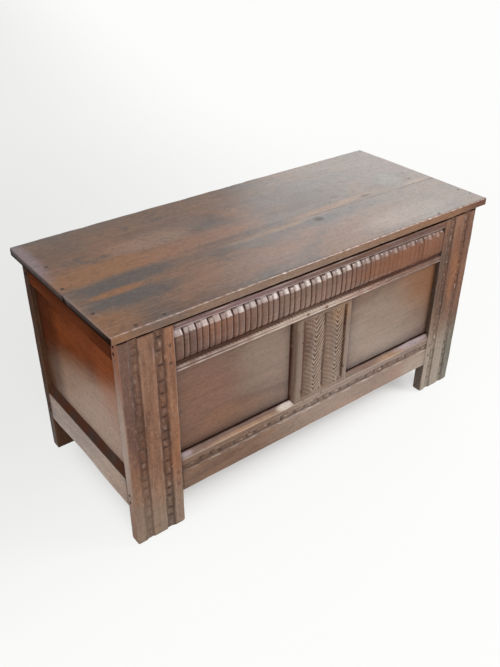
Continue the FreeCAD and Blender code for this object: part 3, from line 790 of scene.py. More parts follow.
@dataclass(frozen=True)
class Oak:
    """Old waxed oak: streaks and rings along the grain, pores, patina, dirt and worn edges, with painted
    shade among the dark marks and painted highlights among the pale ones.
    """

    slot: str
    deep: Colour
    middle: Colour
    pale: Colour
    warm: Colour
    # The dirt and soot colours also serve painted shade, and the worn colour also serves painted
    # highlights.
    dirt: Colour = shade(40, 22, 19)
    soot: Colour = shade(34, 19, 12)
    worn: Colour = shade(168, 140, 122)
    shadow: Colour = shade(72, 56, 50)
    roughness: float = 0.46
    warmth: float = 0.6
    mottle: float = 0.5
    rings: float = 0.2
    grain_relief: float = 0.35
    wear_and_highlight_share: float = 0.55
    specular: float = 0.35
    coat: float = 0.4
    coat_roughness: float = 0.2
    streak_scale: float = 12.0
    cloud_stretch: float = 0.42
    specks: float = 0.5
    speck_scale: float = 300.0
    speck_stretch: float = 0.42
    chill: Colour = (0.0, 0.0, 0.0)
    chill_share: float = 0.0

    STREAK_STRETCH = 0.16
    THREAD_STRETCH = 0.04
    FIBRE_SCALE = 150.0
    PORE_SCALE = 900.0
    CLOUD_SCALE = 7.0
    BLOT_SCALE = 19.0
    SMUDGE_SCALE = 55.0
    RING_COUNT = 48.0

    def material(self, name: str, grain: Axis, seed: int,
                 marks: Sequence[Mark] = ()) -> bpy.types.Material:
        """Writes the shader for one piece.

        Args:
            name: The material's name.
            grain: The axis that the grain follows.
            seed: Shifts the pattern, so that no two pieces match.
            marks: Patches and washes of other colours, laid on in order.

        Returns:
            The new material.
        """
        made, board = new_material(name)
        rng = np.random.default_rng(seed + 1000)
        shift = tuple(rng.uniform(-40.0, 40.0, 3))
        place = board.place()
        stretches = (self.STREAK_STRETCH, self.THREAD_STRETCH, self.cloud_stretch, self.speck_stretch)
        streaked, threaded, clouded, specked = (
            board.stretched(place, self.stretch(grain, share), shift) for share in stretches)
        figure = board.noise(streaked, self.streak_scale, 5.0, 0.62, 0.9)
        fibre = board.noise(threaded, self.FIBRE_SCALE, 4.0, 0.6)
        pore = board.noise(threaded, self.PORE_SCALE, 2.0, 0.5).step(0.57, 0.72)
        cloud = board.noise(clouded, self.CLOUD_SCALE, 5.0, 0.62, 0.4)
        blot = board.noise(clouded, self.BLOT_SCALE, 4.0, 0.62, 0.6)
        smudge = board.noise(clouded, self.SMUDGE_SCALE, 4.0, 0.65)
        speck = board.noise(specked, self.speck_scale, 3.0, 0.6)
        ring = (figure * self.RING_COUNT).sine().step(0.2, 1.0)
        grime_and_shade, wear_and_highlight = board.mark("grime_and_shade"), board.mark("wear_and_highlight")
        colour = board.layered(
            board.mix(figure.step(0.3, 0.62), self.deep, self.middle),
            (cloud.step(0.44, 0.66) * self.warmth, self.warm),
            (cloud.step(0.5, 0.36) * self.chill_share, self.chill),
            (blot.step(0.52, 0.72) * self.mottle, self.shadow),
            (fibre.step(0.5, 0.8) * 0.5, self.pale),
            (ring * self.rings, self.deep))
        coat = self.coat
        for mark in marks:
            share = mark.share(board, place, (cloud + blot) * 0.5)
            colour = board.mix(share, colour, mark.colour)
            if mark.gloss is not None:
                coat = share * (mark.gloss - self.coat) + coat
        # The pale share below carries worn spots and painted highlights; the dark share carries dirt and
        # painted shade.
        rubbed = (wear_and_highlight * (0.4 + smudge * 1.2)).kept()
        packed = (grime_and_shade * (0.6 + smudge * 0.8)).kept()
        colour = board.layered(
            colour,
            (fibre.step(0.5, 0.25) * 0.3, self.deep),
            (smudge.step(0.56, 0.8) * 0.35, self.shadow),
            (pore * 0.5, self.dirt),
            (speck.step(0.53, 0.68) * self.specks, self.deep),
            (speck.step(0.45, 0.3) * self.specks * 0.7, self.pale),
            (rubbed * self.wear_and_highlight_share, self.worn),
            (packed * 0.92, self.dirt))
        rough = (self.roughness + (figure - 0.5) * 0.2 + pore * 0.15 + packed * 0.1
                 + (smudge - 0.5) * 0.2 - rubbed * 0.12).kept()
        height = fibre * 0.5 + (1.0 - pore) * 0.5 + smudge * 0.5 - ring * 0.12
        normal = board.bump(height, 0.9 * MM, self.grain_relief)
        finish = board.node("ShaderNodeBsdfPrincipled", {}, {
            "Base Color": colour, "Roughness": rough, "Normal": normal, "IOR": 1.5,
            "Specular IOR Level": self.specular, "Coat Weight": (1.0 - packed * 0.95) * coat,
            "Coat Roughness": self.coat_roughness})
        # Past 1 the dark mark, from dirt and painted shade alike, gives way to a matt soot colour.
        dull = board.node("ShaderNodeBsdfDiffuse", {}, {"Color": self.soot})
        deepest = (grime_and_shade - 1.0).step(0.02, 0.22)
        surface = board.node("ShaderNodeMixShader", {}, {0: deepest, 1: finish, 2: dull})
        board.node("ShaderNodeOutputMaterial", {}, {"Surface": surface})
        return made

    @staticmethod
    def stretch(grain: Axis, share: float) -> tuple[float, float, float]:
        """A scale that draws patterns out along the grain.

        Args:
            grain: The axis that the grain follows.
            share: The scale along it.

        Returns:
            The scale on each axis.
        """
        scale = [1.0, 1.0, 1.0]
        scale[grain.value] = share
        return tuple(scale)


@dataclass(frozen=True)
class Iron:
    """Forged iron: dark scale, rust in the hollows and rubbed bright spots."""

    scale: Colour = shade(58, 52, 50)
    rust: Colour = shade(92, 52, 30)
    bright: Colour = shade(120, 116, 112)
    roughness: float = 0.52

    def material(self, name: str) -> bpy.types.Material:
        """Writes the shader.

        Args:
            name: The material's name.

        Returns:
            The new material.
        """
        made, board = new_material(name)
        place = board.place()
        cloud = board.noise(place, 60.0, 5.0, 0.65)
        pits = board.noise(place, 420.0, 3.0, 0.6)
        hammer = board.noise(place, 130.0, 1.0, 0.4)
        rusty = cloud.step(0.48, 0.66)
        colour = board.mix(rusty * 0.8, self.scale, self.rust)
        colour = board.mix(pits.step(0.6, 0.8) * 0.5, colour, self.bright)
        rough = (self.roughness + rusty * 0.25 + (pits - 0.5) * 0.2).kept()
        normal = board.bump(hammer * 0.8 + pits * 0.35, 0.8 * MM, 0.6)
        finish = board.node("ShaderNodeBsdfPrincipled", {}, {
            "Base Color": colour, "Metallic": (0.85 - rusty * 0.75).kept(), "Roughness": rough,
            "Normal": normal})
        board.node("ShaderNodeOutputMaterial", {}, {"Surface": finish})
        return made


# Each finish: its slot, its deep, middle, pale and warm colours, and what sets it apart.
FRONT_OAK = Oak("oak_front", shade(88, 59, 46), shade(131, 95, 74), shade(160, 126, 101),
                shade(150, 97, 63), worn=shade(186, 168, 158), dirt=shade(44, 27, 24), specular=0.18)
FRIEZE_OAK = Oak("oak_front", shade(75, 46, 35), shade(108, 76, 60), shade(138, 107, 90),
                 shade(124, 79, 52), worn=shade(190, 174, 166), dirt=shade(52, 32, 27), wear_and_highlight_share=0.62,
                 specular=0.22)
RAIL_OAK = Oak("oak_front", shade(84, 60, 46), shade(122, 94, 76), shade(152, 126, 106),
               shade(138, 98, 70), worn=shade(184, 168, 154), shadow=shade(84, 68, 58))
MUNTIN_OAK = Oak("oak_front", shade(82, 60, 47), shade(118, 95, 80), shade(144, 122, 106),
                 shade(132, 94, 68), worn=shade(186, 170, 154), shadow=shade(88, 72, 62),
                 dirt=shade(68, 45, 36), soot=shade(54, 32, 22), wear_and_highlight_share=0.5, specular=0.15)
PANEL_OAK = Oak("oak_panel", shade(84, 60, 48), shade(108, 82, 66), shade(130, 104, 86),
                shade(120, 82, 56), shadow=shade(82, 68, 58), rings=0.12, mottle=0.35, warmth=0.4,
                roughness=0.4, coat_roughness=0.24)
LID_OAK = Oak("oak_lid", shade(86, 64, 54), shade(120, 96, 80), shade(148, 124, 106), shade(142, 96, 64),
              shadow=shade(78, 70, 66), worn=shade(190, 172, 166), chill=shade(104, 98, 94),
              chill_share=0.5, roughness=0.4, streak_scale=9.0, rings=0.12, mottle=0.85,
              coat_roughness=0.26, cloud_stretch=0.62, speck_scale=190.0, speck_stretch=0.5,
              wear_and_highlight_share=0.72)
END_OAK = Oak("oak_side", shade(84, 41, 24), shade(113, 61, 37), shade(134, 80, 50), shade(140, 74, 38),
              shadow=shade(78, 44, 30), roughness=0.42, specular=0.0, coat=0.0)
# The end bottom rails' pale colours are partly a painted reflection of the floor.
SIDE_OAK = Oak("oak_side", shade(118, 92, 78), shade(170, 144, 128), shade(192, 170, 154),
               shade(172, 134, 104), shadow=shade(104, 88, 80), worn=shade(196, 178, 160),
               soot=shade(82, 49, 35), coat=0.15, specular=0.2, specks=0.8, mottle=0.7)
REAR_OAK = Oak("oak_back", shade(52, 34, 25), shade(80, 54, 39), shade(104, 78, 60), shade(90, 56, 37),
               shadow=shade(52, 42, 34), specular=0.05, coat=0.0)
BACK_OAK = Oak("oak_back", shade(62, 44, 34), shade(98, 74, 58), shade(122, 98, 78), shade(108, 74, 50),
               roughness=0.6, coat=0.05)
INSIDE_OAK = Oak("oak_inside", shade(92, 66, 46), shade(132, 102, 76), shade(158, 130, 102),
                 shade(140, 100, 66), roughness=0.7, coat=0.0)
PEG_OAK = Oak("oak_peg", shade(70, 44, 32), shade(106, 72, 52), shade(130, 96, 74), shade(118, 74, 46),
              roughness=0.5)


# ---- Carved timbers ----
@dataclass(frozen=True)
class BeadedChannel:
    """A sunk channel that holds a row of long raised beads with punched holes between them."""

    middle: float
    width: float
    seed: int
    depth: float = 4.6 * MM
    bead_share: float = 0.8
    bead_rise: float = 3.7 * MM
    bead_lengths: Span = (15.0 * MM, 42.0 * MM)
    gap: float = 3.6 * MM
    flat_dirt: float = 0.3
    pit_dirt: float = 0.42
    glints: float = 0.6
    lip_glint: float = 0.35
    hollow_dirt: float = 0.36
    pit_depth: float = 1.5 * MM
    pit_reaches: Span = (1.6 * MM, 2.8 * MM)
    glint_from: float = 0.6
    first_within: float = 20.0 * MM
    bead_heights: Span = (0.62, 1.0)
    bead_shifts: Span = (-0.09, 0.09)
    gap_shares: Span = (0.6, 1.7)

    def beads(self, start: float, end: float) -> list[tuple[float, float, float, float]]:
        """The middle, half length, height and sideways shift of each bead between two places.

        Args:
            start: Where the channel starts.
            end: Where it ends.

        Returns:
            One row for each bead.
        """
        rng = np.random.default_rng(self.seed)
        found = []
        place = start + rng.uniform(0.0, self.first_within)
        while place < end:
            half = rng.uniform(*self.bead_lengths) / 2.0
            found.append((place + half, half, rng.uniform(*self.bead_heights),
                          rng.uniform(*self.bead_shifts)))
            place += 2.0 * half + self.gap * rng.uniform(*self.gap_shares)
        return found

    def cut(self, along: Array, across: Array, start: float, end: float) -> Relief:
        """The channel's relief.

        Formula: a flat-bottomed trough with steep round sides, from which each bead rises as a
        parabola across the trough and a flattened oval along it, and a small round pit between
        one bead and the next.

        Args:
            along: Places along it.
            across: Places across it.
            start: Where the channel starts.
            end: Where it ends.

        Returns:
            The depth, the dirt, and the worn spots with painted glints at each point.
        """
        sway = 0.05 * ripple(self.seed, 0.2, along) + 0.015 * ripple(self.seed + 1, 0.03, along)
        u = (across - self.middle) / (self.width / 2.0) + sway
        inside = np.abs(u) < 1.0
        floor = self.depth * np.sqrt(np.clip(1.0 - np.abs(u) ** 5, 0.0, 1.0))
        rise = np.zeros(np.broadcast(along, across).shape)
        pit = np.zeros_like(rise)
        rng = np.random.default_rng(self.seed + 50)
        for middle, half, height, shift in self.beads(start, end):
            t = np.clip(np.abs(along - middle) / half, 0.0, 1.0)
            crown = np.clip(1.0 - np.abs((u - shift) / self.bead_share) ** 2.4, 0.0, 1.0)
            rise = np.maximum(rise, height * np.sqrt(1.0 - t ** 3) * crown)
            edge = middle + half + self.gap * 0.45
            spot = rng.uniform(-0.25, 0.25)
            reach = rng.uniform(*self.pit_reaches)
            pit = pit + np.exp(-((along - edge) / reach) ** 2 - ((u - spot) / 0.42) ** 2)
        lumpy = 0.84 + 0.16 * ripple(self.seed + 3, 0.011, along + 0.0 * across, across)
        lift = self.bead_rise * rise * lumpy
        depth = np.maximum(floor - lift, 0.0) + self.pit_depth * pit
        beaded = np.clip(lift / self.bead_rise, 0.0, 1.0)
        hollow = (self.hollow_dirt * (1.0 - beaded) + self.pit_dirt * np.clip(pit, 0.0, 1.0)
                  + self.flat_dirt)
        # Painted highlight: glints on the bead crests, which also thin the dirt there.
        shine = ripple(self.seed + 6, 0.016, along * 0.5 + 0.0 * across, across)
        crest = self.glints * np.clip(shine - self.glint_from, 0.0, 1.0) * 2.0
        hollow = hollow * (1.0 - 0.5 * np.clip(crest, 0.0, 1.0) * beaded)
        # Painted highlight: broken light lines along the channel's edges.
        lip = hump(u, -1.06, 0.13) + 0.5 * hump(u, 1.06, 0.13)
        rubbed = lip * np.clip(0.4 + ripple(self.seed + 12, 0.07, along + 0.0 * across), 0.0, 1.0)
        return Relief(np.where(inside, depth, 0.0), np.where(inside, np.clip(hollow, 0.0, 1.0), 0.0),
                      np.where(inside, crest * beaded ** 2, self.lip_glint * rubbed))


@dataclass
class ChannelledTimber(Timber):
    """A timber whose face holds beaded channels along its length."""

    channels: list[BeadedChannel] = field(default_factory=list)
    channel_step: float = 1.5 * MM
    channel_margin: float = 1.0 * MM

    def rows(self) -> Array:
        """Close together across each channel, and wider apart on the lands between.

        Returns:
            Rising places across the face.
        """
        spans = []
        place = self.width[0]
        for channel in self.channels:
            reach = channel.width / 2.0 + self.channel_margin
            start, end = channel.middle - reach, channel.middle + reach
            spans += [(place, start, self.step_across), (start, end, self.channel_step)]
            place = end
        return spaced(*spans, (place, self.width[1], self.step_across))

    def relief(self, along: Array, across: Array) -> Relief:
        """All the channels together.

        Args:
            along: Places along it.
            across: Places across it.

        Returns:
            The depth, the dirt, and the worn spots with painted glints at each point.
        """
        total = Relief.plain(along, across)
        for channel in self.channels:
            cut = channel.cut(along, across, *self.length)
            total = Relief(total.depth + cut.depth, total.grime_and_shade + cut.grime_and_shade, total.wear_and_highlight + cut.wear_and_highlight)
        return total


@dataclass
class ChamferedRail(ChannelledTimber):
    """A lower rail: its face slopes back to the panel above, hewn a little unevenly."""

    chamfer_start: float = 0.2105
    chamfer_depth: float = 13.0 * MM
    hewing: float = 0.9 * MM
    waney: float = 0.0
    chamfer_dirt: float = 0.3
    chamfer_wear: float = 0.35
    foot_dirt: float = 1.25
    arris_wear: float = 0.9
    arris_reach: float = 1.6 * MM

    def rows(self) -> Array:
        """Close together over the chamfer as well.

        Returns:
            Rising places across the face.
        """
        below = super().rows()
        return np.concatenate([below[below < self.chamfer_start - 2.0 * MM],
                               spaced((self.chamfer_start - 1.0 * MM, self.width[1], 1.6 * MM))])

    def limits(self, along: Array) -> tuple[Array, Array]:
        """The lower edge wanders where the tree's outside was."""
        low, high = super().limits(along)
        return low + self.waney * (1.0 + ripple(self.seed + 9, 0.3, along)) / 2.0, high

    def relief(self, along: Array, across: Array) -> Relief:
        """The channels, and a straight slope back above the chamfer's start.

        Args:
            along: Places along it.
            across: Places across it.

        Returns:
            The depth, the dirt, and the worn spots with the channels' painted glints at each point.
        """
        total = super().relief(along, across)
        share = np.clip((across - self.chamfer_start) / (self.width[1] - self.chamfer_start), 0.0, 1.0)
        hewn = self.hewing * share * (1.0 - share) * 4.0
        slope = self.chamfer_depth * share + hewn * ripple(self.seed + 21, 0.045, along, across * 0.6)
        arris = self.arris_wear * hump(across, self.chamfer_start, self.arris_reach)
        uneven = 1.0 + 0.04 * ripple(self.seed + 33, 0.07, along, across)
        foot = (ramp(0.68, 0.9, share) * self.foot_dirt
                + self.chamfer_dirt * uneven * ramp(0.0, 0.15, share))
        rubbed = self.chamfer_wear * np.clip(1.0 - foot, 0.0, 1.0)
        wear_and_highlight = np.maximum(arris, np.where(share > 0.0, rubbed, 0.0))
        return Relief(total.depth + slope, np.clip(total.grime_and_shade, 0.0, 1.0) + foot, total.wear_and_highlight + wear_and_highlight)


@dataclass
class FriezeRail(Timber):
    """The upper front rail: a fillet, a cushion of wide and narrow flutes, and a double bead."""

    bead_height: float = 19.0 * MM
    quirk_height: float = 5.0 * MM
    quirk_depth: float = 6.0 * MM
    quirk_dirt: float = 0.8
    fillet_height: float = 24.5 * MM
    crest_depth: float = 1.1 * MM
    foot_reach: float = 15.0 * MM
    foot_drop: float = 6.0 * MM
    foot_corner: float = 5.0 * MM
    head_below: float = 22.0 * MM
    head_run: float = 13.0 * MM
    head_drop: float = 9.4 * MM
    first_flute: float = 26.0 * MM
    wide_flute: float = 20.0 * MM
    narrow_flute: float = 14.6 * MM
    line_depth: float = 2.9 * MM
    punch_pitch: float = 11.0 * MM
    punch_reach: float = 1.7 * MM
    punch_depth: float = 1.0 * MM
    worn_from: float = 0.02
    bow: float = 3.2 * MM
    fillet_fall: float = 8.0 * MM
    rim_below: float = 2.2 * MM
    softening: float = 0.62
    head_softening: float = 0.42
    dulling: float = 0.35
    wide_cut: float = 0.18
    wide_line: float = 0.11
    narrow_line: float = 0.16
    facet_highlight: float = 0.7
    tone_most: float = 0.4
    lean_most: float = 0.7 * MM
    head_shift_most: float = 1.3 * MM
    width_slip: float = 0.7 * MM
    cut_places: tuple[float, ...] = (-1.6 * MM, -0.8 * MM, 0.0, 0.8 * MM, 1.6 * MM)
    flute_places: int = 8

    def flutes(self) -> list[tuple[float, float, bool]]:
        """Start, end and width class of every flute, wide and narrow by turns.

        Returns:
            One row for each flute.
        """
        rng = np.random.default_rng(self.seed)
        place, end = self.length
        found = []
        width, wide = self.first_flute, True
        while place + self.narrow_flute < end:
            stop = min(place + width + rng.uniform(-self.width_slip, self.width_slip), end)
            found.append((place, stop, wide))
            place, wide = stop, not wide
            width = self.wide_flute if wide else self.narrow_flute
        found[-1] = (found[-1][0], end, found[-1][2])
        return found

    def middle_stations(self, low: float, high: float) -> Array:
        """Five places across each cut between flutes, and even ones over each flute.

        Args:
            low: Where they start.
            high: Where they end.

        Returns:
            Rising places along the rail.
        """
        cut = np.array(self.cut_places)
        places = [np.array([low, high])]
        for start, stop, _ in self.flutes():
            places += [start + cut, np.linspace(start + cut[-1], stop + cut[0], self.flute_places)]
        every = np.concatenate(places)
        return np.unique(every[(every >= low) & (every <= high)].round(5))

    def rows(self) -> Array:
        """Close together over the beads and at both ends of the flutes.

        Returns:
            Rising places across the face.
        """
        low, high = self.width
        bead = low + self.bead_height
        band = bead + self.quirk_height
        fillet = high - self.fillet_height
        head = fillet - self.head_below - self.fillet_fall
        return spaced((low, bead, 1.0 * MM), (bead, band + self.foot_reach, 1.3 * MM),
                      (band + self.foot_reach, head - 2.0 * MM, 3.2 * MM),
                      (head - 2.0 * MM, fillet + 2.0 * MM, 1.2 * MM), (fillet + 2.0 * MM, high, 3.0 * MM))

    def relief(self, along: Array, across: Array) -> Relief:
        """The whole frieze.

        Formula: below, two half-round beads and a sunk quirk. Between quirk and fillet stand the
        flutes. A flute's profile is a low cushion that turns under at its foot as a quarter
        circle and falls back at its head, in a straight facet if it is wide and as a round nose
        if it is narrow. Across, it drops towards its own outline, steeply if it is wide and as
        half a circle if it is narrow.

        Args:
            along: Places along it.
            across: Places across it.

        Returns:
            The depth, the dirt with painted shade, and the worn spots with painted highlights at each
            point.
        """
        low, high = self.width
        bead_top = low + self.bead_height
        band_low = bead_top + self.quirk_height
        share = self.share(along)
        band_high = high - self.fillet_height - self.fillet_fall * share
        shape = np.broadcast(along, across).shape
        gap, wide_share, tone, lean, head_shift = (np.zeros(shape) for _ in range(5))
        rng = np.random.default_rng(self.seed + 1)
        for start, stop, wide in self.flutes():
            half, middle = (stop - start) / 2.0, (start + stop) / 2.0
            aside = np.abs(along - middle)
            here = aside <= half + 1e-9
            corner = min(self.foot_corner, half * 0.95)
            foot = np.clip(band_low + corner - across, 0.0, None)
            inner = np.clip(aside - (half - corner), 0.0, None)
            own = half - aside
            own = np.where(foot > 0.0, np.minimum(corner - np.hypot(foot, inner), own), own)
            gap = np.where(here, own / half, gap)
            wide_share = np.where(here, float(wide), wide_share)
            mosts = (self.tone_most, self.lean_most, self.head_shift_most)
            slip = [rng.uniform(-most, most) for most in mosts]
            tone = np.where(here, slip[0], tone)
            lean = np.where(here, (along - middle) / half * slip[1], lean)
            head_shift = np.where(here, slip[2], head_shift)
        wide = wide_share > 0.5
        gap = np.clip(gap, 0.0, 1.0)
        aged = ramp(self.worn_from, self.length[1] * 0.7, along)
        softer = 1.0 - self.softening * aged
        rounded = 1.0 - np.sqrt(1.0 - (1.0 - gap) ** 2)
        edge = self.line_depth * softer * np.where(wide, hump(gap, 0.0, self.wide_cut), rounded)
        crisp = softer * hump(gap, 0.0, np.where(wide, self.wide_line, self.narrow_line))
        under = np.clip((band_low + self.foot_reach - across) / self.foot_reach, 0.0, 1.0)
        foot_depth = self.foot_drop * (1.0 - np.sqrt(1.0 - under ** 2))
        head_start = band_high - self.head_below + head_shift
        back = np.clip((across - head_start) / self.head_run, 0.0, 1.0)
        head_depth = (self.head_drop * (1.0 - self.head_softening * aged)
                      * np.where(wide, back, 1.0 - np.sqrt(1.0 - back ** 2)))
        body = (self.crest_depth + foot_depth + head_depth + edge + 0.3 * MM * (1.0 + tone) + lean
                + 0.2 * MM * ripple(self.seed + 2, 0.02, along, across))
        centre = (band_low + band_high) / 2.0 - 4.0 * MM
        body = body + self.bow * ((across - centre) / (band_high - centre)) ** 2
        flute = np.minimum(np.maximum(body, 0.0), self.crest_depth + self.head_drop + self.line_depth)
        bead = self.beads(along, across - low)
        zones = [(across > band_low) & (across < band_high), (across >= bead_top) & (across <= band_low),
                 across < bead_top]
        # Painted shade where the heads drop back under the fillet and where the feet turn under.
        recess = ramp(0.85, 1.08, (across - head_start) / self.head_run)
        dirt = ((0.9 - 0.6 * aged) * crisp + (0.75 - 0.5 * aged) * recess + 0.5 * under ** 3
                + 0.4 * np.clip(tone, 0.0, 1.0))
        # Painted highlights on the head facets, narrowing towards the right end; the flute bodies are
        # paled a little as well.
        facet = ((back > 0.02) & (back < 0.95)) * (1.0 - crisp)
        facet = facet * (1.0 - aged + aged * hump(gap, 0.85, 0.28))
        facet = facet * np.where(wide, 1.0, 0.75 * (1.0 - 0.9 * aged))
        rubbed = (self.facet_highlight * (1.0 - self.dulling * aged) * facet
                  + 0.1 * (1.0 - crisp) * (1.0 - under) * (1.0 - recess))
        # Painted highlights: light lines along the fillet's lower edge and just below the painted shadow
        # of the lid.
        lip = hump(across, band_high + 0.8 * MM, 1.2 * MM) * (across >= band_high) * (1.0 - 0.4 * aged)
        rim_height = self.shade_above - self.shade_fall * share - self.rim_below
        patchy = np.clip(0.55 + 0.5 * ripple(self.seed + 60, 0.12, along), 0.0, 1.0) * (1.0 - 0.5 * aged)
        lip = lip + hump(across, rim_height, 1.4 * MM) * patchy
        return Relief(np.select(zones, [flute, self.quirk_depth, bead.depth], 0.0),
                      np.clip(np.select(zones, [dirt, self.quirk_dirt, bead.grime_and_shade], 0.0), 0.0, 1.0),
                      np.clip(np.select(zones, [rubbed, lip, bead.wear_and_highlight], lip), 0.0, 1.0))

    def beads(self, along: Array, rise: Array) -> Relief:
        """Two half-round beads with a scratch between them and slanting punch marks above, and painted
        highlight lines along their crests.

        Formula: each bead drops as a power of the distance from its own middle.

        Args:
            along: Places along it.
            rise: Heights above its lower edge.

        Returns:
            The depth, the dirt, and the painted highlight lines at each point.
        """
        split = self.bead_height * 0.42
        lower = np.abs(rise - split / 2.0) / (split / 2.0)
        upper_half = (self.bead_height - split) / 2.0
        upper = np.abs(rise - split - upper_half) / upper_half
        u = np.clip(np.where(rise < split, lower, upper), 0.0, 1.0)
        depth = 0.4 * MM + 2.4 * MM * u ** 3
        phase = (along + rise * 0.8) / self.punch_pitch + 0.12 * ripple(self.seed + 8, 0.05, along)
        beat = np.abs(phase - np.round(phase)) * self.punch_pitch
        punch = hump(beat, 0.0, self.punch_reach) * ramp(split + upper_half * 0.7, self.bead_height, rise)
        grime_and_shade = 0.75 * u ** 4 + 0.7 * punch
        # Painted highlight: broken light lines along the bead crests, fading towards the right.
        patchy = np.clip(0.85 + 0.25 * ripple(self.seed + 40, 0.05, along + 0.0 * rise), 0.2, 1.2)
        patchy = patchy * (1.0 - 0.65 * ramp(0.04, 0.34, along))
        wear_and_highlight = patchy * (1.0 - u ** 2) ** 2 * (1.0 - 0.8 * punch) * np.where(rise < split, 1.0, 0.75)
        return Relief(depth + self.punch_depth * punch, np.clip(grime_and_shade, 0.0, 1.0), wear_and_highlight)


@dataclass
class ChevronMuntin(Timber):
    """The carved front muntin: chamfered edges and two half-round reeds full of chevrons."""

    face: Span = (-84.0 * MM, 104.5 * MM)
    chamfer_depth: float = 13.0 * MM
    field_left_margin: float = 21.0 * MM
    field_right_margin: float = 14.5 * MM
    foot_margin: float = 12.5 * MM
    head_margin: float = 8.0 * MM
    reed_width: float = 70.0 * MM
    reed_gap: float = 4.0 * MM
    reed_crest: float = 0.6 * MM
    reed_edge: float = 7.0 * MM
    pitch: float = 14.2 * MM
    left_slope: float = 1.25
    left_bend: float = 14.0
    right_slope: float = 0.95
    apexes: tuple[float, float] = (5.0 * MM, 1.0 * MM)
    cut_depth: float = 2.9 * MM
    field_dirt: float = 0.85
    foot_rise: float = 20.0 * MM
    foot_reach: float = 60.0 * MM
    reed_power: float = 2.3
    cut_share: float = 0.74
    faint: float = 0.22
    plain_wear: float = 0.15
    right_dirt: float = 1.2
    bend: float = 1.2 * MM
    wander: float = 1.3 * MM
    lag: float = 0.37

    def rows(self) -> Array:
        """Fine across the reeds and coarser outside them.

        Returns:
            Rising places across the face.
        """
        low, high = self.width
        start = self.face[0] + self.field_left_margin - 1.0 * MM
        end = self.face[1] - self.field_right_margin + 1.0 * MM
        return spaced((low, self.face[0], 3.5 * MM), (self.face[0], start, 4.0 * MM),
                      (start, end, 1.3 * MM), (end, self.face[1], 4.0 * MM),
                      (self.face[1], high, 3.5 * MM))

    def relief(self, along: Array, across: Array) -> Relief:
        """Chamfers, the sunk field, its reeds and their chevrons.

        Formula: a reed's depth grows with a power of the distance from its middle. A chevron is
        a saw-tooth of the height less a slope times the distance from the reed's apex line, and
        to the left of that line the slope eases with the square of the distance.

        Args:
            along: Places along it.
            across: Places across it.

        Returns:
            The depth, the dirt with painted shade, and the worn spots with painted highlights at each
            point.
        """
        low, high = self.width
        left = np.clip((self.face[0] - across) / (self.face[0] - low), 0.0, 1.0)
        right = np.clip((across - self.face[1]) / (high - self.face[1]), 0.0, 1.0)
        chamfer = self.chamfer_depth * (left + right)
        start, end = self.face[0] + self.field_left_margin, self.face[1] - self.field_right_margin
        foot, head = self.length[0] + self.foot_margin, self.length[1] - self.head_margin
        inside = (across > start) & (across < end) & (along > foot) & (along < head)
        field_depth = np.full(inside.shape, self.reed_edge)
        grime_and_shade = np.where(across > end - self.reed_width / 2.0, self.right_dirt, self.field_dirt)
        wear_and_highlight = np.zeros(inside.shape)
        for index in (0, 1):
            middle = end - self.reed_width / 2.0 - index * (self.reed_width + self.reed_gap)
            bent = self.bend * ripple(self.seed + index, 0.2, along)
            u = (across - middle - bent) / (self.reed_width / 2.0)
            on_reed = np.abs(u) < 1.0
            crown = self.reed_crest + (self.reed_edge - self.reed_crest) * np.abs(u) ** self.reed_power
            apex = middle + bent + self.apexes[index]
            wander = self.wander * ripple(self.seed + 7 + index, 0.028, along, across * 0.7)
            aside = np.abs(across - apex)
            curved = aside * self.left_slope - self.left_bend * aside ** 2
            rise = np.where(across > apex, aside * self.right_slope, curved)
            bold = self.faint + (1.0 - self.faint) * ramp(-12.0 * MM, 1.0 * MM, across - apex)
            phase = (along - rise + wander) / self.pitch + self.lag * index
            tooth = phase - np.floor(phase)
            saw = np.where(tooth < self.cut_share, tooth / self.cut_share,
                           (1.0 - tooth) / (1.0 - self.cut_share))
            fade = ramp(1.0, 0.93, np.abs(u)) * ramp(head, head - 6.0 * MM, along)
            fade = fade * np.clip(0.85 + 0.3 * ripple(self.seed + 31, 0.035, along, across), 0.3, 1.2)
            shown = fade * bold
            field_depth = np.where(on_reed, crown + self.cut_depth * saw * shown, field_depth)
            rim = ramp(0.88, 1.0, np.abs(u))
            # Painted light and shade on the chevrons: the deep part of each tooth is darkened and the
            # shallow part lightened.
            packed = 0.8 * ramp(0.4, 0.75, saw) * shown + 0.5 * rim
            grime_and_shade = np.where(on_reed, np.clip(packed, 0.0, 1.0), grime_and_shade)
            wear_and_highlight = np.where(on_reed, ramp(0.45, 0.2, saw) * (1.0 - rim) * shown, wear_and_highlight)
        depth = np.where(inside, field_depth, 0.0) + chamfer
        # Painted shade on the left chamfer, with a soot-black joint line at its foot.
        grime_and_shade = np.where(inside, grime_and_shade, 0.35 * ramp(0.0, 0.2, left) + 1.3 * ramp(0.6, 0.78, left)
                         + 0.5 * right)
        return Relief(depth, grime_and_shade, np.where(inside, wear_and_highlight, self.plain_wear))

    def reshape(self, along: Array, across: Array, depth: Array) -> tuple[Array, Array, Array]:
        """Scribes the foot over the rail's chamfer.

        Formula: a point rises with its depth, up to the chamfer's depth, by an amount that dies
        away over the lowest stretch of the muntin.

        Args:
            along: Places along it.
            across: Places across it.
            depth: Depths below its face.

        Returns:
            The same three, moved.
        """
        near = np.clip(1.0 - (along - self.length[0]) / self.foot_reach, 0.0, 1.0)
        rise = self.foot_rise * np.clip(depth / self.chamfer_depth, 0.0, 1.0) * near
        return along + rise, across, depth


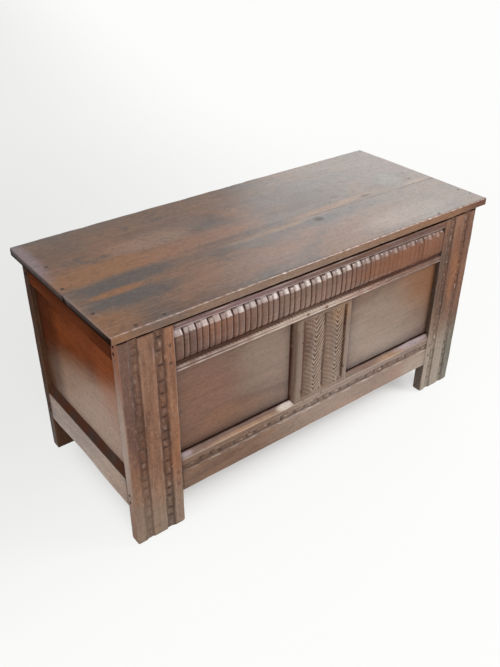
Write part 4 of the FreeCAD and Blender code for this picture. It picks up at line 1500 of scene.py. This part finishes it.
@dataclass
class LidBoard(Timber):
    """One of the lid's two boards, a little hollowed by use and worn round at its free edges."""

    arris: float = 3.0 * MM
    back_arris: float = 2.5 * MM
    end_face_round: float = 3.0 * MM
    end_back_round: float = 2.5 * MM
    end_side_round: float = 3.0 * MM
    step_along: float = 5.0 * MM
    step_across: float = 5.0 * MM
    end_dirt: tuple[float, float] = (0.0, 0.0)
    nick_count: int = 16
    end_wear: float = 1.2
    end_shadow: float = 1.2
    wear_break: float = 0.46
    wear_length: float = 22.0 * MM
    hollow: float = 0.9 * MM
    joint_arris: float = 0.7 * MM
    joint_edges: tuple[int, int] = (1, 2)

    def arris_radius(self, along: Array, edge: int, base: float) -> Array:
        """Nearly square at the tight joint, and rounded elsewhere."""
        return super().arris_radius(along, edge, self.joint_arris if edge in self.joint_edges else base)

    def relief(self, along: Array, across: Array) -> Relief:
        """Slow waves in the top.

        Formula: a long ripple along and across the board, never above the board's own face.
        """
        wave = self.hollow * (1.0 + ripple(self.seed + 4, 0.35, along * 0.6, across)) / 2.0
        return Relief(wave, np.zeros_like(wave), np.zeros_like(wave))


# ---- Sub-assemblies ----
FRONT_PLANE = (Axis.X, Axis.Z)
END_PLANE = (Axis.Y, Axis.Z)
TOP_PLANE = (Axis.X, Axis.Y)


def past_face(way: Sequence[float], start: float, end: float, colour: Colour, **sizes: Any) -> Wash:
    """A wash over what faces a way, from a start to an end in metres along that way."""
    return Wash(way, start, end, colour, ragged=0.0, **sizes)


@dataclass
class FrontFrame:
    """The carved front: two stiles, the frieze, the lower rail, the muntin and two panels."""

    recess: float = 13.0 * MM
    chamfer_drop: float = 20.0 * MM
    shadow_drop: float = 10.5 * MM
    shadow_fall: float = 1.5 * MM
    rail_channel: float = 72.0 * MM

    def __post_init__(self) -> None:
        """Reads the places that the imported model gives."""
        face = node_span("front_left_stile", Axis.Y)[0]
        self.left = node_span("front_left_stile", Axis.X)
        self.right = node_span("front_right_stile", Axis.X)
        self.opening = (self.left[1], self.right[0])
        self.upright = Lay(Axis.Z, Axis.X, Axis.Y, face, 1.0)
        self.level = Lay(Axis.X, Axis.Z, Axis.Y, face, 1.0)
        # The painted shadow under the lid's overhang starts this far below the frieze's top.
        self.lid_shadow = node_span("front_top_rail", Axis.Z)[1] - self.shadow_drop
        self.chamfer_start = node_span("front_bottom_rail", Axis.Z)[1] - self.chamfer_drop

    def build(self) -> None:
        """Makes every piece of the front."""
        self.stile(Side.LEFT, 11, ((37.0, 22.0, 0.4), (100.0, 24.0, 0.95)), 0.0, self.left_stile_marks())
        self.stile(Side.RIGHT, 23, ((32.0, 20.0, 0.9), (91.0, 18.0, 1.0)), 0.6, self.right_stile_marks())
        self.frieze()
        self.lower_rail()
        self.muntin()
        self.panels()

    def stile(self, side: Side, seed: int, channels: Sequence[tuple[float, float, float]], clean: float,
              marks: Sequence[Mark]) -> None:
        """One front stile with its beaded channels.

        Args:
            side: Which stile.
            seed: Picks its unevenness, and its channels' beads.
            channels: The middle of each from the stile's left edge and its width, in millimetres,
                and how boldly it is cut.
            clean: How free of dirt the channels are.
            marks: The stile's own colours.
        """
        node = f"front_{side.value}_stile"
        edge = node_span(node, Axis.X)[0]
        made = [BeadedChannel(edge + middle * MM, wide * MM, seed + index, depth=(3.2 + bold) * MM,
                              bead_rise=3.6 * bold * MM, glints=0.7 * bold * (1.0 + clean),
                              pit_dirt=0.5 * bold ** 2 * (1.0 - 0.4 * clean),
                              flat_dirt=0.3 * (1.0 - clean) * (0.5 + 0.5 * bold),
                              hollow_dirt=0.36 * (1.0 - 0.4 * clean) * (0.4 + 0.6 * bold))
                for index, (middle, wide, bold) in enumerate(channels)]
        stile = ChannelledTimber.fitted(
            node + "_carved", node, self.upright, seed, arris=2.6 * MM, back_arris=1.5 * MM,
            end_face_round=10.0 * MM, end_back_round=9.0 * MM, end_side_round=12.0 * MM,
            step_along=2.3 * MM, step_across=5.0 * MM, edge_wear=(0.25, 0.5), end_dirt=(0.25, 0.1),
            nick_count=9, shade_above=self.lid_shadow, channels=made)
        stile.build(FRONT_OAK, marks)

    def left_stile_marks(self) -> list[Mark]:
        """A greyer foot, a dusky outer edge, and the orange outer side, paler low down with a painted
        reflection of the floor.

        Returns:
            The marks, in the order that they are laid on.
        """
        outer = self.left[0]
        side = past_face((-1.0, 0.0, 0.0), -outer - 0.9 * MM, -outer - 0.3 * MM, shade(146, 84, 50),
                         strength=0.95)
        # Painted reflection: the outer side turns paler low down, as if it mirrored the floor.
        floor_reflection = Wash((0.0, -0.2, -1.0), -0.50, -0.36, shade(146, 116, 92), ragged=0.08)
        return [Wash((0.0, 0.0, -1.0), -0.24, -0.04, shade(138, 119, 102), ragged=0.12),
                Patch(FRONT_PLANE, (outer + 12.0 * MM, 0.5), (0.020, 0.22), shade(80, 58, 54), 0.7),
                side, Within(floor_reflection, side)]

    def right_stile_marks(self) -> list[Mark]:
        """A grey foot, a rusty middle, a dusky top corner, and painted shade on the inner side.

        Returns:
            The marks, in the order that they are laid on.
        """
        inner = self.right[0]
        return [Wash((0.2, 0.0, -1.0), -0.22, -0.04, shade(140, 130, 115), ragged=0.12),
                *patches(FRONT_PLANE, (
                    (0.578, 0.09, 0.028, 0.14, shade(82, 82, 72), 0.8, 0.6),
                    (0.525, 0.44, 0.03, 0.10, shade(142, 84, 44), 0.6),
                    (0.565, 0.54, 0.04, 0.08, shade(96, 66, 54), 0.6),
                    (0.48, 0.42, 0.035, 0.16, shade(84, 68, 58), 0.6),
                    (0.565, 0.33, 0.03, 0.10, shade(94, 62, 48), 0.55))),
                # Painted shade: the inner side of the stile is darkened.
                past_face((-1.0, 0.0, 0.0), -inner - 0.9 * MM, -inner - 0.3 * MM, shade(64, 54, 46),
                          strength=0.85, gloss=0.0)]

    def frieze(self) -> None:
        """The upper front rail, with violet heads, a warmer right end and a pale painted highlight on the
        bead.
        """
        bloom, glow, cream_highlight = shade(118, 96, 102), shade(132, 78, 42), shade(190, 168, 148)
        marks = patches(FRONT_PLANE, (
            (-0.30, 0.588, 0.24, 0.018, bloom, 0.7),
            (-0.02, 0.545, 0.20, 0.05, shade(138, 112, 96), 0.3),
            (0.32, 0.532, 0.22, 0.036, shade(116, 64, 28), 0.9),
            (0.27, 0.582, 0.24, 0.016, shade(104, 84, 80), 0.7),
            (-0.33, 0.56, 0.05, 0.035, glow, 0.4),
            # Painted highlight on the bead near the middle.
            (-0.04, 0.486, 0.18, 0.014, cream_highlight, 0.6, 0.5),
            (0.16, 0.484, 0.10, 0.010, glow, 0.5)))
        rail = FriezeRail.fitted("front_frieze", "front_top_rail", self.level, 31, length=self.opening,
                                 arris=0.9 * MM, end_face_round=0.6 * MM, nick_count=2,
                                 shade_above=self.lid_shadow, shade_fall=self.shadow_fall)
        rail.build(FRIEZE_OAK, marks)

    def lower_rail(self) -> None:
        """The lower front rail: one channel, a paler middle and a chamfer of many colours, with painted
        highlights near its ends.
        """
        foot = node_span("front_bottom_rail", Axis.Z)[0]
        channel = BeadedChannel(foot + self.rail_channel, 20.0 * MM, 47, bead_rise=2.6 * MM,
                                bead_lengths=(18.0 * MM, 46.0 * MM), flat_dirt=0.2, pit_dirt=0.34,
                                glints=0.9, lip_glint=0.9)
        lilac_highlight, red = shade(178, 162, 170), shade(116, 70, 54)
        honey, dusk = shade(184, 138, 92), shade(70, 48, 40)
        marks = patches(FRONT_PLANE, (
            (0.00, 0.15, 0.17, 0.05, shade(160, 138, 120), 0.35),
            (0.26, 0.16, 0.20, 0.05, shade(104, 80, 66), 0.4),
            (0.38, 0.14, 0.10, 0.04, shade(146, 96, 60), 0.25),
            (0.42, 0.13, 0.07, 0.05, shade(146, 132, 114), 0.6),
            (-0.30, 0.222, 0.16, 0.012, red, 0.6, 1.0),
            (-0.24, 0.214, 0.12, 0.004, honey, 0.6, 1.0),
            (-0.20, 0.224, 0.05, 0.006, dusk, 0.5, 1.0),
            (-0.35, 0.226, 0.06, 0.005, dusk, 0.7, 1.0),
            (-0.17, 0.226, 0.05, 0.005, red, 0.7, 1.0),
            # Painted highlights on the chamfer: pale violet at its left end and near white beside the
            # muntin.
            (-0.430, 0.219, 0.018, 0.006, lilac_highlight, 0.7, 0.9),
            (-0.112, 0.219, 0.026, 0.008, shade(232, 218, 206), 0.85, 0.8),
            (0.20, 0.222, 0.09, 0.010, red, 0.5, 1.0),
            (0.30, 0.215, 0.06, 0.005, honey, 0.6, 1.0),
            # Painted highlight on the chamfer near its right end.
            (0.385, 0.220, 0.06, 0.007, lilac_highlight, 0.7, 0.8)))
        rail = ChamferedRail.fitted("front_lower_rail", "front_bottom_rail", self.level, 41,
                                    length=self.opening, arris=1.8 * MM, step_along=2.6 * MM,
                                    step_across=5.0 * MM, end_face_round=0.9 * MM, channels=[channel],
                                    chamfer_start=self.chamfer_start)
        rail.build(RAIL_OAK, marks)

    def muntin(self) -> None:
        """The carved muntin: warm heads on its right-hand reed, and a red edge to its field."""
        head = node_span("front_top_rail", Axis.Z)[0]
        marks = patches(FRONT_PLANE, (
            (0.075, 0.450, 0.030, 0.035, shade(158, 112, 66), 0.4),
            (0.045, 0.30, 0.035, 0.09, shade(132, 108, 86), 0.2),
            (-0.058, 0.38, 0.008, 0.10, shade(112, 70, 58), 0.5)))
        muntin = ChevronMuntin.fitted("front_carved_muntin", "front_muntin", self.upright, 53,
                                      length=(self.chamfer_start, head), arris=0.8 * MM,
                                      step_along=1.2 * MM, end_face_round=0.6 * MM, end_dirt=(0.3, 0.5))
        muntin.build(MUNTIN_OAK, marks)

    def panels(self) -> None:
        """The two plain front panels, each with its own clouds of colour; the right one's pale cloud is
        partly a painted reflection.
        """
        left = ((-0.16, 0.40, 0.10, 0.10, shade(134, 116, 100), 0.4),
                (-0.36, 0.36, 0.09, 0.12, shade(130, 88, 70), 0.4),
                (-0.28, 0.28, 0.10, 0.03, shade(142, 92, 54), 0.2))
        right = ((0.43, 0.44, 0.13, 0.10, shade(126, 80, 46), 0.85),
                 # Partly a painted reflection: a pale grey cloud across the right panel.
                 (0.24, 0.34, 0.15, 0.12, shade(146, 128, 111), 0.5))
        for side, seed, far_dirt, rows in ((Side.LEFT, 61, 1.1, left), (Side.RIGHT, 67, 1.9, right)):
            node = f"front_{side.value}_panel"
            panel = Timber.fitted(node + "_board", node, self.level.sunk(self.recess), seed,
                                  step_along=6.0 * MM, step_across=6.0 * MM, unevenness=0.5 * MM,
                                  arris=0.8 * MM, nick_count=0, dirt_reach=11.0 * MM,
                                  end_dirt=(1.2, far_dirt), side_dirt=(1.9, 1.0))
            panel.build(PANEL_OAK, patches(FRONT_PLANE, rows))


@dataclass
class EndFrame:
    """One end of the case: two rails and a panel between a front and a rear stile."""

    side: Side
    seed: int
    recess: float = 13.0 * MM
    face_top: float = 202.0 * MM

    def __post_init__(self) -> None:
        """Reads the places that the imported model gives."""
        side = self.side.value
        low, high = node_span(f"{side}_side_bottom_rail", Axis.X)
        face, way = (low, 1.0) if self.side is Side.LEFT else (high, -1.0)
        self.opening = (node_span(f"front_{side}_stile", Axis.Y)[1],
                        node_span(f"rear_{side}_stile", Axis.Y)[0])
        self.lay = Lay(Axis.Y, Axis.Z, Axis.X, face, way)

    def build(self) -> None:
        """Makes the rails and the panel."""
        parts = ("top_rail", "bottom_rail", "panel")
        top, low, node = (f"{self.side.value}_side_{part}" for part in parts)
        start, end = node_span(top, Axis.Z)
        # Painted shadow: the top rail darkens towards its upper edge, under the lid.
        painted_lid_shadow = Wash((0.0, 0.0, 1.0), start - 6.0 * MM, end - 6.0 * MM, shade(66, 34, 22), 0.6, 0.03)
        Timber.fitted(top + "_worn", top, self.lay, self.seed, length=self.opening).build(END_OAK, [painted_lid_shadow])
        rail = ChamferedRail.fitted(low + "_worn", low, self.lay, self.seed + 1, length=self.opening,
                                    arris=2.2 * MM, step_along=5.0 * MM, waney=6.5 * MM,
                                    chamfer_dirt=1.13, chamfer_wear=0.0, foot_dirt=0.0,
                                    chamfer_start=self.face_top)
        rail.build(SIDE_OAK)
        panel = Timber.fitted(node + "_board", node, self.lay.sunk(self.recess), self.seed + 2,
                              step_along=7.0 * MM, step_across=7.0 * MM, unevenness=0.6 * MM,
                              nick_count=0, dirt_reach=12.0 * MM, end_dirt=(1.0, 1.0),
                              side_dirt=(0.7, 0.3))
        panel.build(END_OAK, self.marks())

    @staticmethod
    def marks() -> list[Mark]:
        """The pale lower part, a painted reflection of the floor, two redder clouds, and the dark strip
        by the rear stile.

        Returns:
            The marks, in the order that they are laid on.
        """
        # Painted reflection: the lower part turns pale, as if it mirrored the floor.
        return [Wash((0.0, -0.265, -1.0), -0.455, -0.355, shade(164, 132, 108), 0.88, 0.07, gloss=0.5),
                *patches(END_PLANE, (
                    (-0.17, 0.45, 0.07, 0.10, shade(158, 92, 52), 0.6),
                    (-0.08, 0.51, 0.13, 0.06, shade(134, 72, 46), 0.55))),
                Wash((0.0, 1.0, 0.0), 0.09, 0.16, shade(64, 33, 22), 0.7, 0.08)]


@dataclass
class BackFrame:
    """The plain back: two stiles, two rails, a muntin and two panels."""

    recess: float = 13.0 * MM
    foot_round: float = 5.0 * MM

    def build(self) -> None:
        """Makes every piece of the back."""
        face = node_span("rear_left_stile", Axis.Y)[1]
        upright, level = (Lay(*axes, Axis.Y, face, -1.0) for axes in ((Axis.Z, Axis.X), (Axis.X, Axis.Z)))
        opening = (node_span("rear_left_stile", Axis.X)[1], node_span("rear_right_stile", Axis.X)[0])
        heights = (node_span("back_bottom_rail", Axis.Z)[1], node_span("back_top_rail", Axis.Z)[0])
        for node, seed in (("rear_left_stile", 71), ("rear_right_stile", 73)):
            stile = Timber.fitted(node + "_worn", node, upright, seed, arris=2.2 * MM,
                                  end_face_round=self.foot_round, end_back_round=self.foot_round,
                                  end_side_round=self.foot_round, end_dirt=(0.3, 0.1))
            stile.build(REAR_OAK)
        for node, seed, lay, length in (("back_top_rail", 79, level, opening),
                                        ("back_bottom_rail", 83, level, opening),
                                        ("back_muntin", 89, upright, heights)):
            Timber.fitted(node + "_worn", node, lay, seed, length=length).build(BACK_OAK)
        for node, seed in (("back_left_panel", 97), ("back_right_panel", 101)):
            panel = Timber.fitted(node + "_board", node, level.sunk(self.recess), seed,
                                  unevenness=0.8 * MM, nick_count=0, dirt_reach=14.0 * MM,
                                  end_dirt=(1.0, 1.0), side_dirt=(1.0, 1.0))
            panel.build(BACK_OAK)


@dataclass
class ChestFloor:
    """The floor inside: loose-edged boards on two bearers."""

    board_count: int = 6

    def build(self) -> None:
        """Makes the boards and the bearers."""
        for number in range(1, self.board_count + 1):
            node = f"floor_board_{number}"
            lay = Lay(Axis.Y, Axis.X, Axis.Z, node_span(node, Axis.Z)[1], -1.0)
            board = Timber.fitted(node + "_sawn", node, lay, 110 + number, unevenness=0.6 * MM,
                                  step_along=9.0 * MM, step_across=9.0 * MM, side_dirt=(0.8, 0.8))
            board.build(INSIDE_OAK)
        for node, seed in (("floor_bearer_front", 121), ("floor_bearer_back", 122)):
            lay = Lay(Axis.X, Axis.Y, Axis.Z, node_span(node, Axis.Z)[1], -1.0)
            Timber.fitted(node + "_sawn", node, lay, seed).build(INSIDE_OAK)


@dataclass
class Lid:
    """The lid: two boards that meet on a slanting joint, and two battens beneath."""

    joint_left: float = -45.0 * MM
    joint_right: float = -61.0 * MM
    joint_gap: float = 0.6 * MM
    nail_spots: tuple[tuple[float, float], ...] = (
        (0.590, -0.168), (0.596, -0.207), (0.407, -0.250), (0.541, -0.021), (0.558, 0.0185),
        (-0.579, 0.103), (-0.595, -0.017), (-0.590, -0.152), (-0.540, -0.246), (-0.470, -0.246))
    nail_spot_size: tuple[float, float] = (5.0 * MM, 4.4 * MM)

    def build(self) -> None:
        """Makes the boards and the battens."""
        front, back = node_span("lid_front_board", Axis.Y)[0], node_span("lid_rear_board", Axis.Y)[1]
        lay = Lay(Axis.X, Axis.Y, Axis.Z, node_span("lid_front_board", Axis.Z)[1], -1.0)
        ends = (self.joint_left, self.joint_right)
        fronts = [(front, end - self.joint_gap / 2.0) for end in ends]
        rears = [(end + self.joint_gap / 2.0, back) for end in ends]
        marks = [*self.top_marks(), *self.edge_marks(), *self.nail_marks(), self.underside()]
        for node, seed, widths, edge_wear, edges in (
                ("lid_front_board", 131, fronts, (0.85, 0.0), (1, 2)),
                ("lid_rear_board", 137, rears, (0.0, 1.0), (0, 3))):
            board = LidBoard.fitted(node + "_worn", node, lay, seed, width=widths[0],
                                    width_at_end=widths[1], edge_wear=edge_wear, joint_edges=edges)
            board.build(LID_OAK, marks, "lid")
        for node, seed in (("lid_left_batten", 141), ("lid_right_batten", 142)):
            under = Lay(Axis.Y, Axis.X, Axis.Z, node_span(node, Axis.Z)[0], 1.0)
            batten = Timber.fitted(node + "_planed", node, under, seed, arris=2.0 * MM,
                                   back_arris=0.5 * MM)
            batten.build(INSIDE_OAK, (), "lid")

    @staticmethod
    def top_marks() -> list[Mark]:
        """The stain patches, knots and sapwood of the top, and two patches of painted sheen.

        Returns:
            The marks, in the order that they are laid on.
        """
        orange, tan, slate = shade(152, 100, 56), shade(168, 130, 92), shade(82, 76, 74)
        rosy, knot, dusk = shade(150, 104, 78), shade(48, 36, 32), shade(72, 58, 54)
        return patches(TOP_PLANE, (
            (-0.47, 0.005, 0.19, 0.045, orange, 0.8),
            (-0.22, 0.0, 0.19, 0.042, rosy, 0.65),
            (-0.30, 0.13, 0.22, 0.05, rosy, 0.25),
            (-0.45, -0.062, 0.13, 0.030, slate, 0.85, 0.7),
            (-0.47, -0.140, 0.12, 0.032, slate, 0.8, 0.7),
            (-0.53, -0.10, 0.06, 0.05, slate, 0.6, 0.7),
            (-0.50, -0.10, 0.075, 0.012, orange, 0.75, 0.6),
            (-0.58, -0.215, 0.07, 0.05, orange, 0.55),
            (-0.20, -0.18, 0.20, 0.05, rosy, 0.35),
            (0.18, -0.045, 0.16, 0.05, shade(86, 76, 72), 0.5, 0.6),
            (0.19, -0.038, 0.14, 0.014, shade(150, 104, 62), 0.75, 0.7),
            (0.31, -0.030, 0.09, 0.011, shade(158, 118, 80), 0.7, 0.7),
            (0.53, -0.046, 0.06, 0.012, tan, 0.7, 0.6),
            (0.00, -0.062, 0.15, 0.010, tan, 0.45, 0.8),
            (0.10, -0.13, 0.14, 0.03, rosy, 0.4),
            (0.12, -0.086, 0.055, 0.028, shade(70, 68, 68), 0.75, 0.5),
            (0.19, -0.085, 0.10, 0.016, slate, 0.5, 0.8),
            (-0.53, 0.15, 0.08, 0.06, shade(84, 68, 62), 0.3),
            (-0.31, 0.08, 0.11, 0.035, shade(172, 134, 110), 0.5),
            (0.19, 0.09, 0.17, 0.07, shade(88, 82, 80), 0.5),
            # Painted sheen: a pale patch towards the front of the right half.
            (0.33, -0.20, 0.16, 0.05, shade(178, 162, 150), 0.45),
            (0.12, -0.081, 0.014, 0.012, knot, 0.95, 0.3, 0.5, 0.0),
            (0.338, -0.037, 0.022, 0.005, knot, 0.95, 0.3, 0.5, 0.0),
            (0.257, 0.006, 0.018, 0.006, knot, 0.7, 0.4),
            (0.17, 0.02, 0.12, 0.018, dusk, 0.45, 0.8),
            (0.19, 0.06, 0.07, 0.03, dusk, 0.5, 0.6),
            (-0.10, -0.03, 0.16, 0.012, dusk, 0.5, 0.8),
            (0.48, 0.01, 0.04, 0.04, shade(140, 146, 138), 0.45, 0.6),
            (0.098, 0.136, 0.006, 0.02, knot, 0.6, 0.3),
            # Painted sheen: a pale violet strip along the left end, towards the back.
            (-0.606, 0.17, 0.026, 0.12, shade(156, 140, 150), 0.6, 0.6)))

    @staticmethod
    def edge_marks() -> list[Mark]:
        """A painted sheen that makes the right half of the top paler, and the front edge's colours from
        left to right.

        Returns:
            The marks, in the order that they are laid on.
        """
        front = node_span("lid_front_board", Axis.Y)[0]
        edge = past_face((0.0, -1.0, 0.0), -front - 2.2 * MM, -front - 1.2 * MM, (0.0, 0.0, 0.0),
                         strength=1.0)
        # Painted sheen: the right half of the top turns paler and greyer.
        return [Wash((1.0, 0.0, 0.0), -0.1, 0.6, shade(130, 124, 116), 0.45, 0.35),
                Within(Wash((1.0, 0.0, 0.0), -0.62, -0.3, shade(126, 99, 79), 0.75, 0.3), edge),
                Within(Wash((0.6, 0.0, 0.0), 0.0, 0.25, shade(130, 86, 54), 0.7), edge),
                Within(Wash((1.0, 0.0, 0.0), 0.46, 0.58, shade(90, 50, 34), 0.85), edge)]

    def nail_marks(self) -> list[Mark]:
        """The small dark spots of the nails that hold the boards down."""
        return [Patch(TOP_PLANE, spot, self.nail_spot_size, shade(48, 36, 32), 0.92, 0.15, 0.3, 0.0)
                for spot in self.nail_spots]

    @staticmethod
    def underside() -> Mark:
        """The lid's dry, unwaxed underside.

        Returns:
            One wash.
        """
        low = node_span("lid_front_board", Axis.Z)[0]
        return past_face((0.0, 0.0, -1.0), -low - 2.4 * MM, -low - 1.2 * MM, shade(112, 84, 62),
                         strength=0.78, gloss=0.0)


@dataclass
class Fittings:
    """The pegs, nails and hinges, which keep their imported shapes."""

    peg_end: str = "_pegs"

    def build(self) -> None:
        """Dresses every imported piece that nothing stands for."""
        iron = Iron().material("forged_iron")
        peg = PEG_OAK.material("peg_oak", Axis.Y, 151)
        for node in sorted(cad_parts):
            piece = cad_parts[node]
            if node.endswith(self.peg_end):
                self.dress(piece, peg)
            elif "nails" in node or "hinge" in node:
                self.dress(piece, iron)

    @staticmethod
    def dress(piece: bpy.types.Object, material: bpy.types.Material) -> None:
        """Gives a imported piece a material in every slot.

        Args:
            piece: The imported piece.
            material: Its finish.
        """
        if not piece.data.materials:
            piece.data.materials.append(material)
        for slot in piece.material_slots:
            slot.material = material
        log.info("%s: packed piece dressed with %s", piece.name, material.name)


# ---- Studio ----
@dataclass
class Studio:
    """The pale floor, the soft lights and the camera."""

    camera_place: tuple[float, float, float] = (-1.1463, -1.4117, 1.4586)
    turn: float = 0.66108
    tilt: float = 0.57427
    roll: float = 0.00661
    lens: float = 39.82
    sensor: float = 36.0
    clip: Span = (0.05, 100.0)
    aim: tuple[float, float, float] = (0.0, 0.0, 0.35)
    floor_reach: float = 30.0
    ambient: float = 0.34
    mirrored: float = 0.5
    floor_glow: float = 0.88
    floor_base: float = 0.3
    floor_dusk: float = 0.15
    under_shade: float = 0.78
    under_x: Span = (0.42, 0.61)
    under_y: Span = (0.13, 0.262)
    paper: Colour = shade(253, 253, 252)
    lights: tuple[tuple[str, tuple[float, float, float], float, float], ...] = (
        ("key_light", (1.9, -1.95, 2.2), 1.1, 60.0), ("fill_light", (-1.3, -2.5, 2.0), 1.1, 50.0),
        ("side_light", (-3.0, -0.2, 1.5), 2.0, 12.0), ("sheen_light", (2.7, 1.9, 1.75), 2.2, 24.0))
    floor_sheens: tuple[tuple[float, float, float, float], ...] = (
        (0.40, -0.48, 0.34, 1.4), (-0.68, 0.18, 0.26, 1.0))

    def build(self) -> None:
        """Makes everything round the chest."""
        self.floor()
        self.world()
        for light in self.lights:
            self.softbox(*light)
        self.camera()

    def floor(self) -> None:
        """A wide pale floor that shows nearly white to the camera and keeps the shadow.

        Formula: what is seen mixes the lit matt floor with an even glow. The glow is full far
        off and a little less near the chest, and falls away beneath it. In a polish the floor
        shows its glow alone, brighter in two round sheens.
        """
        reach = self.floor_reach
        corners = np.array([[-reach, -reach, 0.0], [reach, -reach, 0.0], [reach, reach, 0.0],
                            [-reach, reach, 0.0]])
        made = mesh_object("studio_floor", corners, np.array([[0, 1, 2, 3]]), [], {})
        material, board = new_material("studio_white")
        matt = board.node("ShaderNodeBsdfDiffuse", {}, {"Color": shade(238, 238, 237)})
        camera, glossy = self.ray_kinds(board)
        x, y, _ = board.axes(board.place())
        sheen = self.floor_base
        for middle_x, middle_y, spread, power in self.floor_sheens:
            far = (((x - middle_x) / spread) ** 2.0 + ((y - middle_y) / spread) ** 2.0) ** 0.5
            sheen = (1.0 - far.step(0.4, 1.6)) * power + sheen
        distance = (x ** 2.0 + y ** 2.0) ** 0.5
        # Painted shade: the glow is lowered towards the left and the back.
        dusk = (1.0 - (x - y * 0.28).step(-0.7, 1.3)) * y.step(-0.5, 0.5)
        dusk = dusk * (1.0 - distance.step(10.0, 26.0))
        lit = 1.0 - dusk * self.floor_dusk
        strength = glossy * (sheen - lit) + lit
        colour = board.node("ShaderNodeVectorMath", {"operation": "SCALE"},
                            {0: self.paper, "Scale": strength})
        glow = board.node("ShaderNodeEmission", {}, {"Color": colour})
        away = distance.step(1.2, 3.5)
        under = x.band(*self.under_x) * y.band(*self.under_y)
        plain = (away * (1.0 - self.floor_glow) + self.floor_glow) * (1.0 - under * self.under_shade)
        shown = (camera * plain).most(glossy)
        share = board.node("ShaderNodeMixShader", {}, {0: shown, 1: matt, 2: glow})
        board.node("ShaderNodeOutputMaterial", {}, {"Surface": share})
        made.data.materials.append(material)

    @staticmethod
    def ray_kinds(board: Board) -> tuple[Wire, Wire]:
        """One for what the camera sees straight, and one for what shows in a polish.

        Args:
            board: The board to write on.

        Returns:
            The two shares.
        """
        path = board.node("ShaderNodeLightPath", {}, {})
        sockets = path.socket.node.outputs
        return Wire(board, sockets["Is Camera Ray"]), Wire(board, sockets["Is Glossy Ray"])

    def world(self) -> None:
        """A white surround, plain for what it lights."""
        world = bpy.data.worlds.new("studio")
        bpy.context.scene.world = world
        world.use_nodes = True
        board = Board(world.node_tree)
        camera, glossy = self.ray_kinds(board)
        strength = camera * (1.0 - self.ambient) + glossy * (self.mirrored - self.ambient) + self.ambient
        glow = board.node("ShaderNodeBackground", {}, {"Color": self.paper, "Strength": strength})
        board.node("ShaderNodeOutputWorld", {}, {"Surface": glow})

    def softbox(self, name: str, place: tuple[float, float, float], size: float, power: float) -> None:
        """A square soft light that faces the chest's middle.

        Args:
            name: The light's name.
            place: Its middle.
            size: The side of its square.
            power: Its power, in watts.
        """
        light = bpy.data.lights.new(name, "AREA")
        light.shape = "SQUARE"
        light.size = size
        light.energy = power
        made = linked(name, light)
        way = Vector(self.aim) - Vector(place)
        made.matrix_world = Matrix.Translation(place) @ way.to_track_quat("-Z", "Y").to_matrix().to_4x4()
        made.visible_camera = False

    def camera(self) -> None:
        """The camera, from its place, its turn about the upright, its tilt down and its roll."""
        ahead = Vector((math.sin(self.turn) * math.cos(self.tilt),
                        math.cos(self.turn) * math.cos(self.tilt), -math.sin(self.tilt)))
        level = Vector((math.cos(self.turn), -math.sin(self.turn), 0.0))
        above = level.cross(ahead)
        right = level * math.cos(self.roll) + above * math.sin(self.roll)
        up = above * math.cos(self.roll) - level * math.sin(self.roll)
        turned = Matrix((right, up, -ahead)).transposed().to_4x4()
        data = bpy.data.cameras.new("camera")
        data.lens = self.lens
        data.sensor_width = self.sensor
        data.clip_start, data.clip_end = self.clip
        made = linked("camera", data)
        made.matrix_world = Matrix.Translation(self.camera_place) @ turned
        bpy.context.scene.camera = made


def main() -> None:
    """Builds the studio and every sub-assembly in order."""
    logging.basicConfig(level=logging.INFO, format="%(name)s %(message)s")
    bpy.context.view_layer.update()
    bpy.context.scene.view_settings.view_transform = "Standard"
    parts: list[Callable[[], None]] = [
        Studio().build, FrontFrame().build, EndFrame(Side.LEFT, 201).build,
        EndFrame(Side.RIGHT, 211).build, BackFrame().build, ChestFloor().build, Lid().build,
        Fittings().build]
    for build in parts:
        build()


if __name__ == "__main__":
    main()
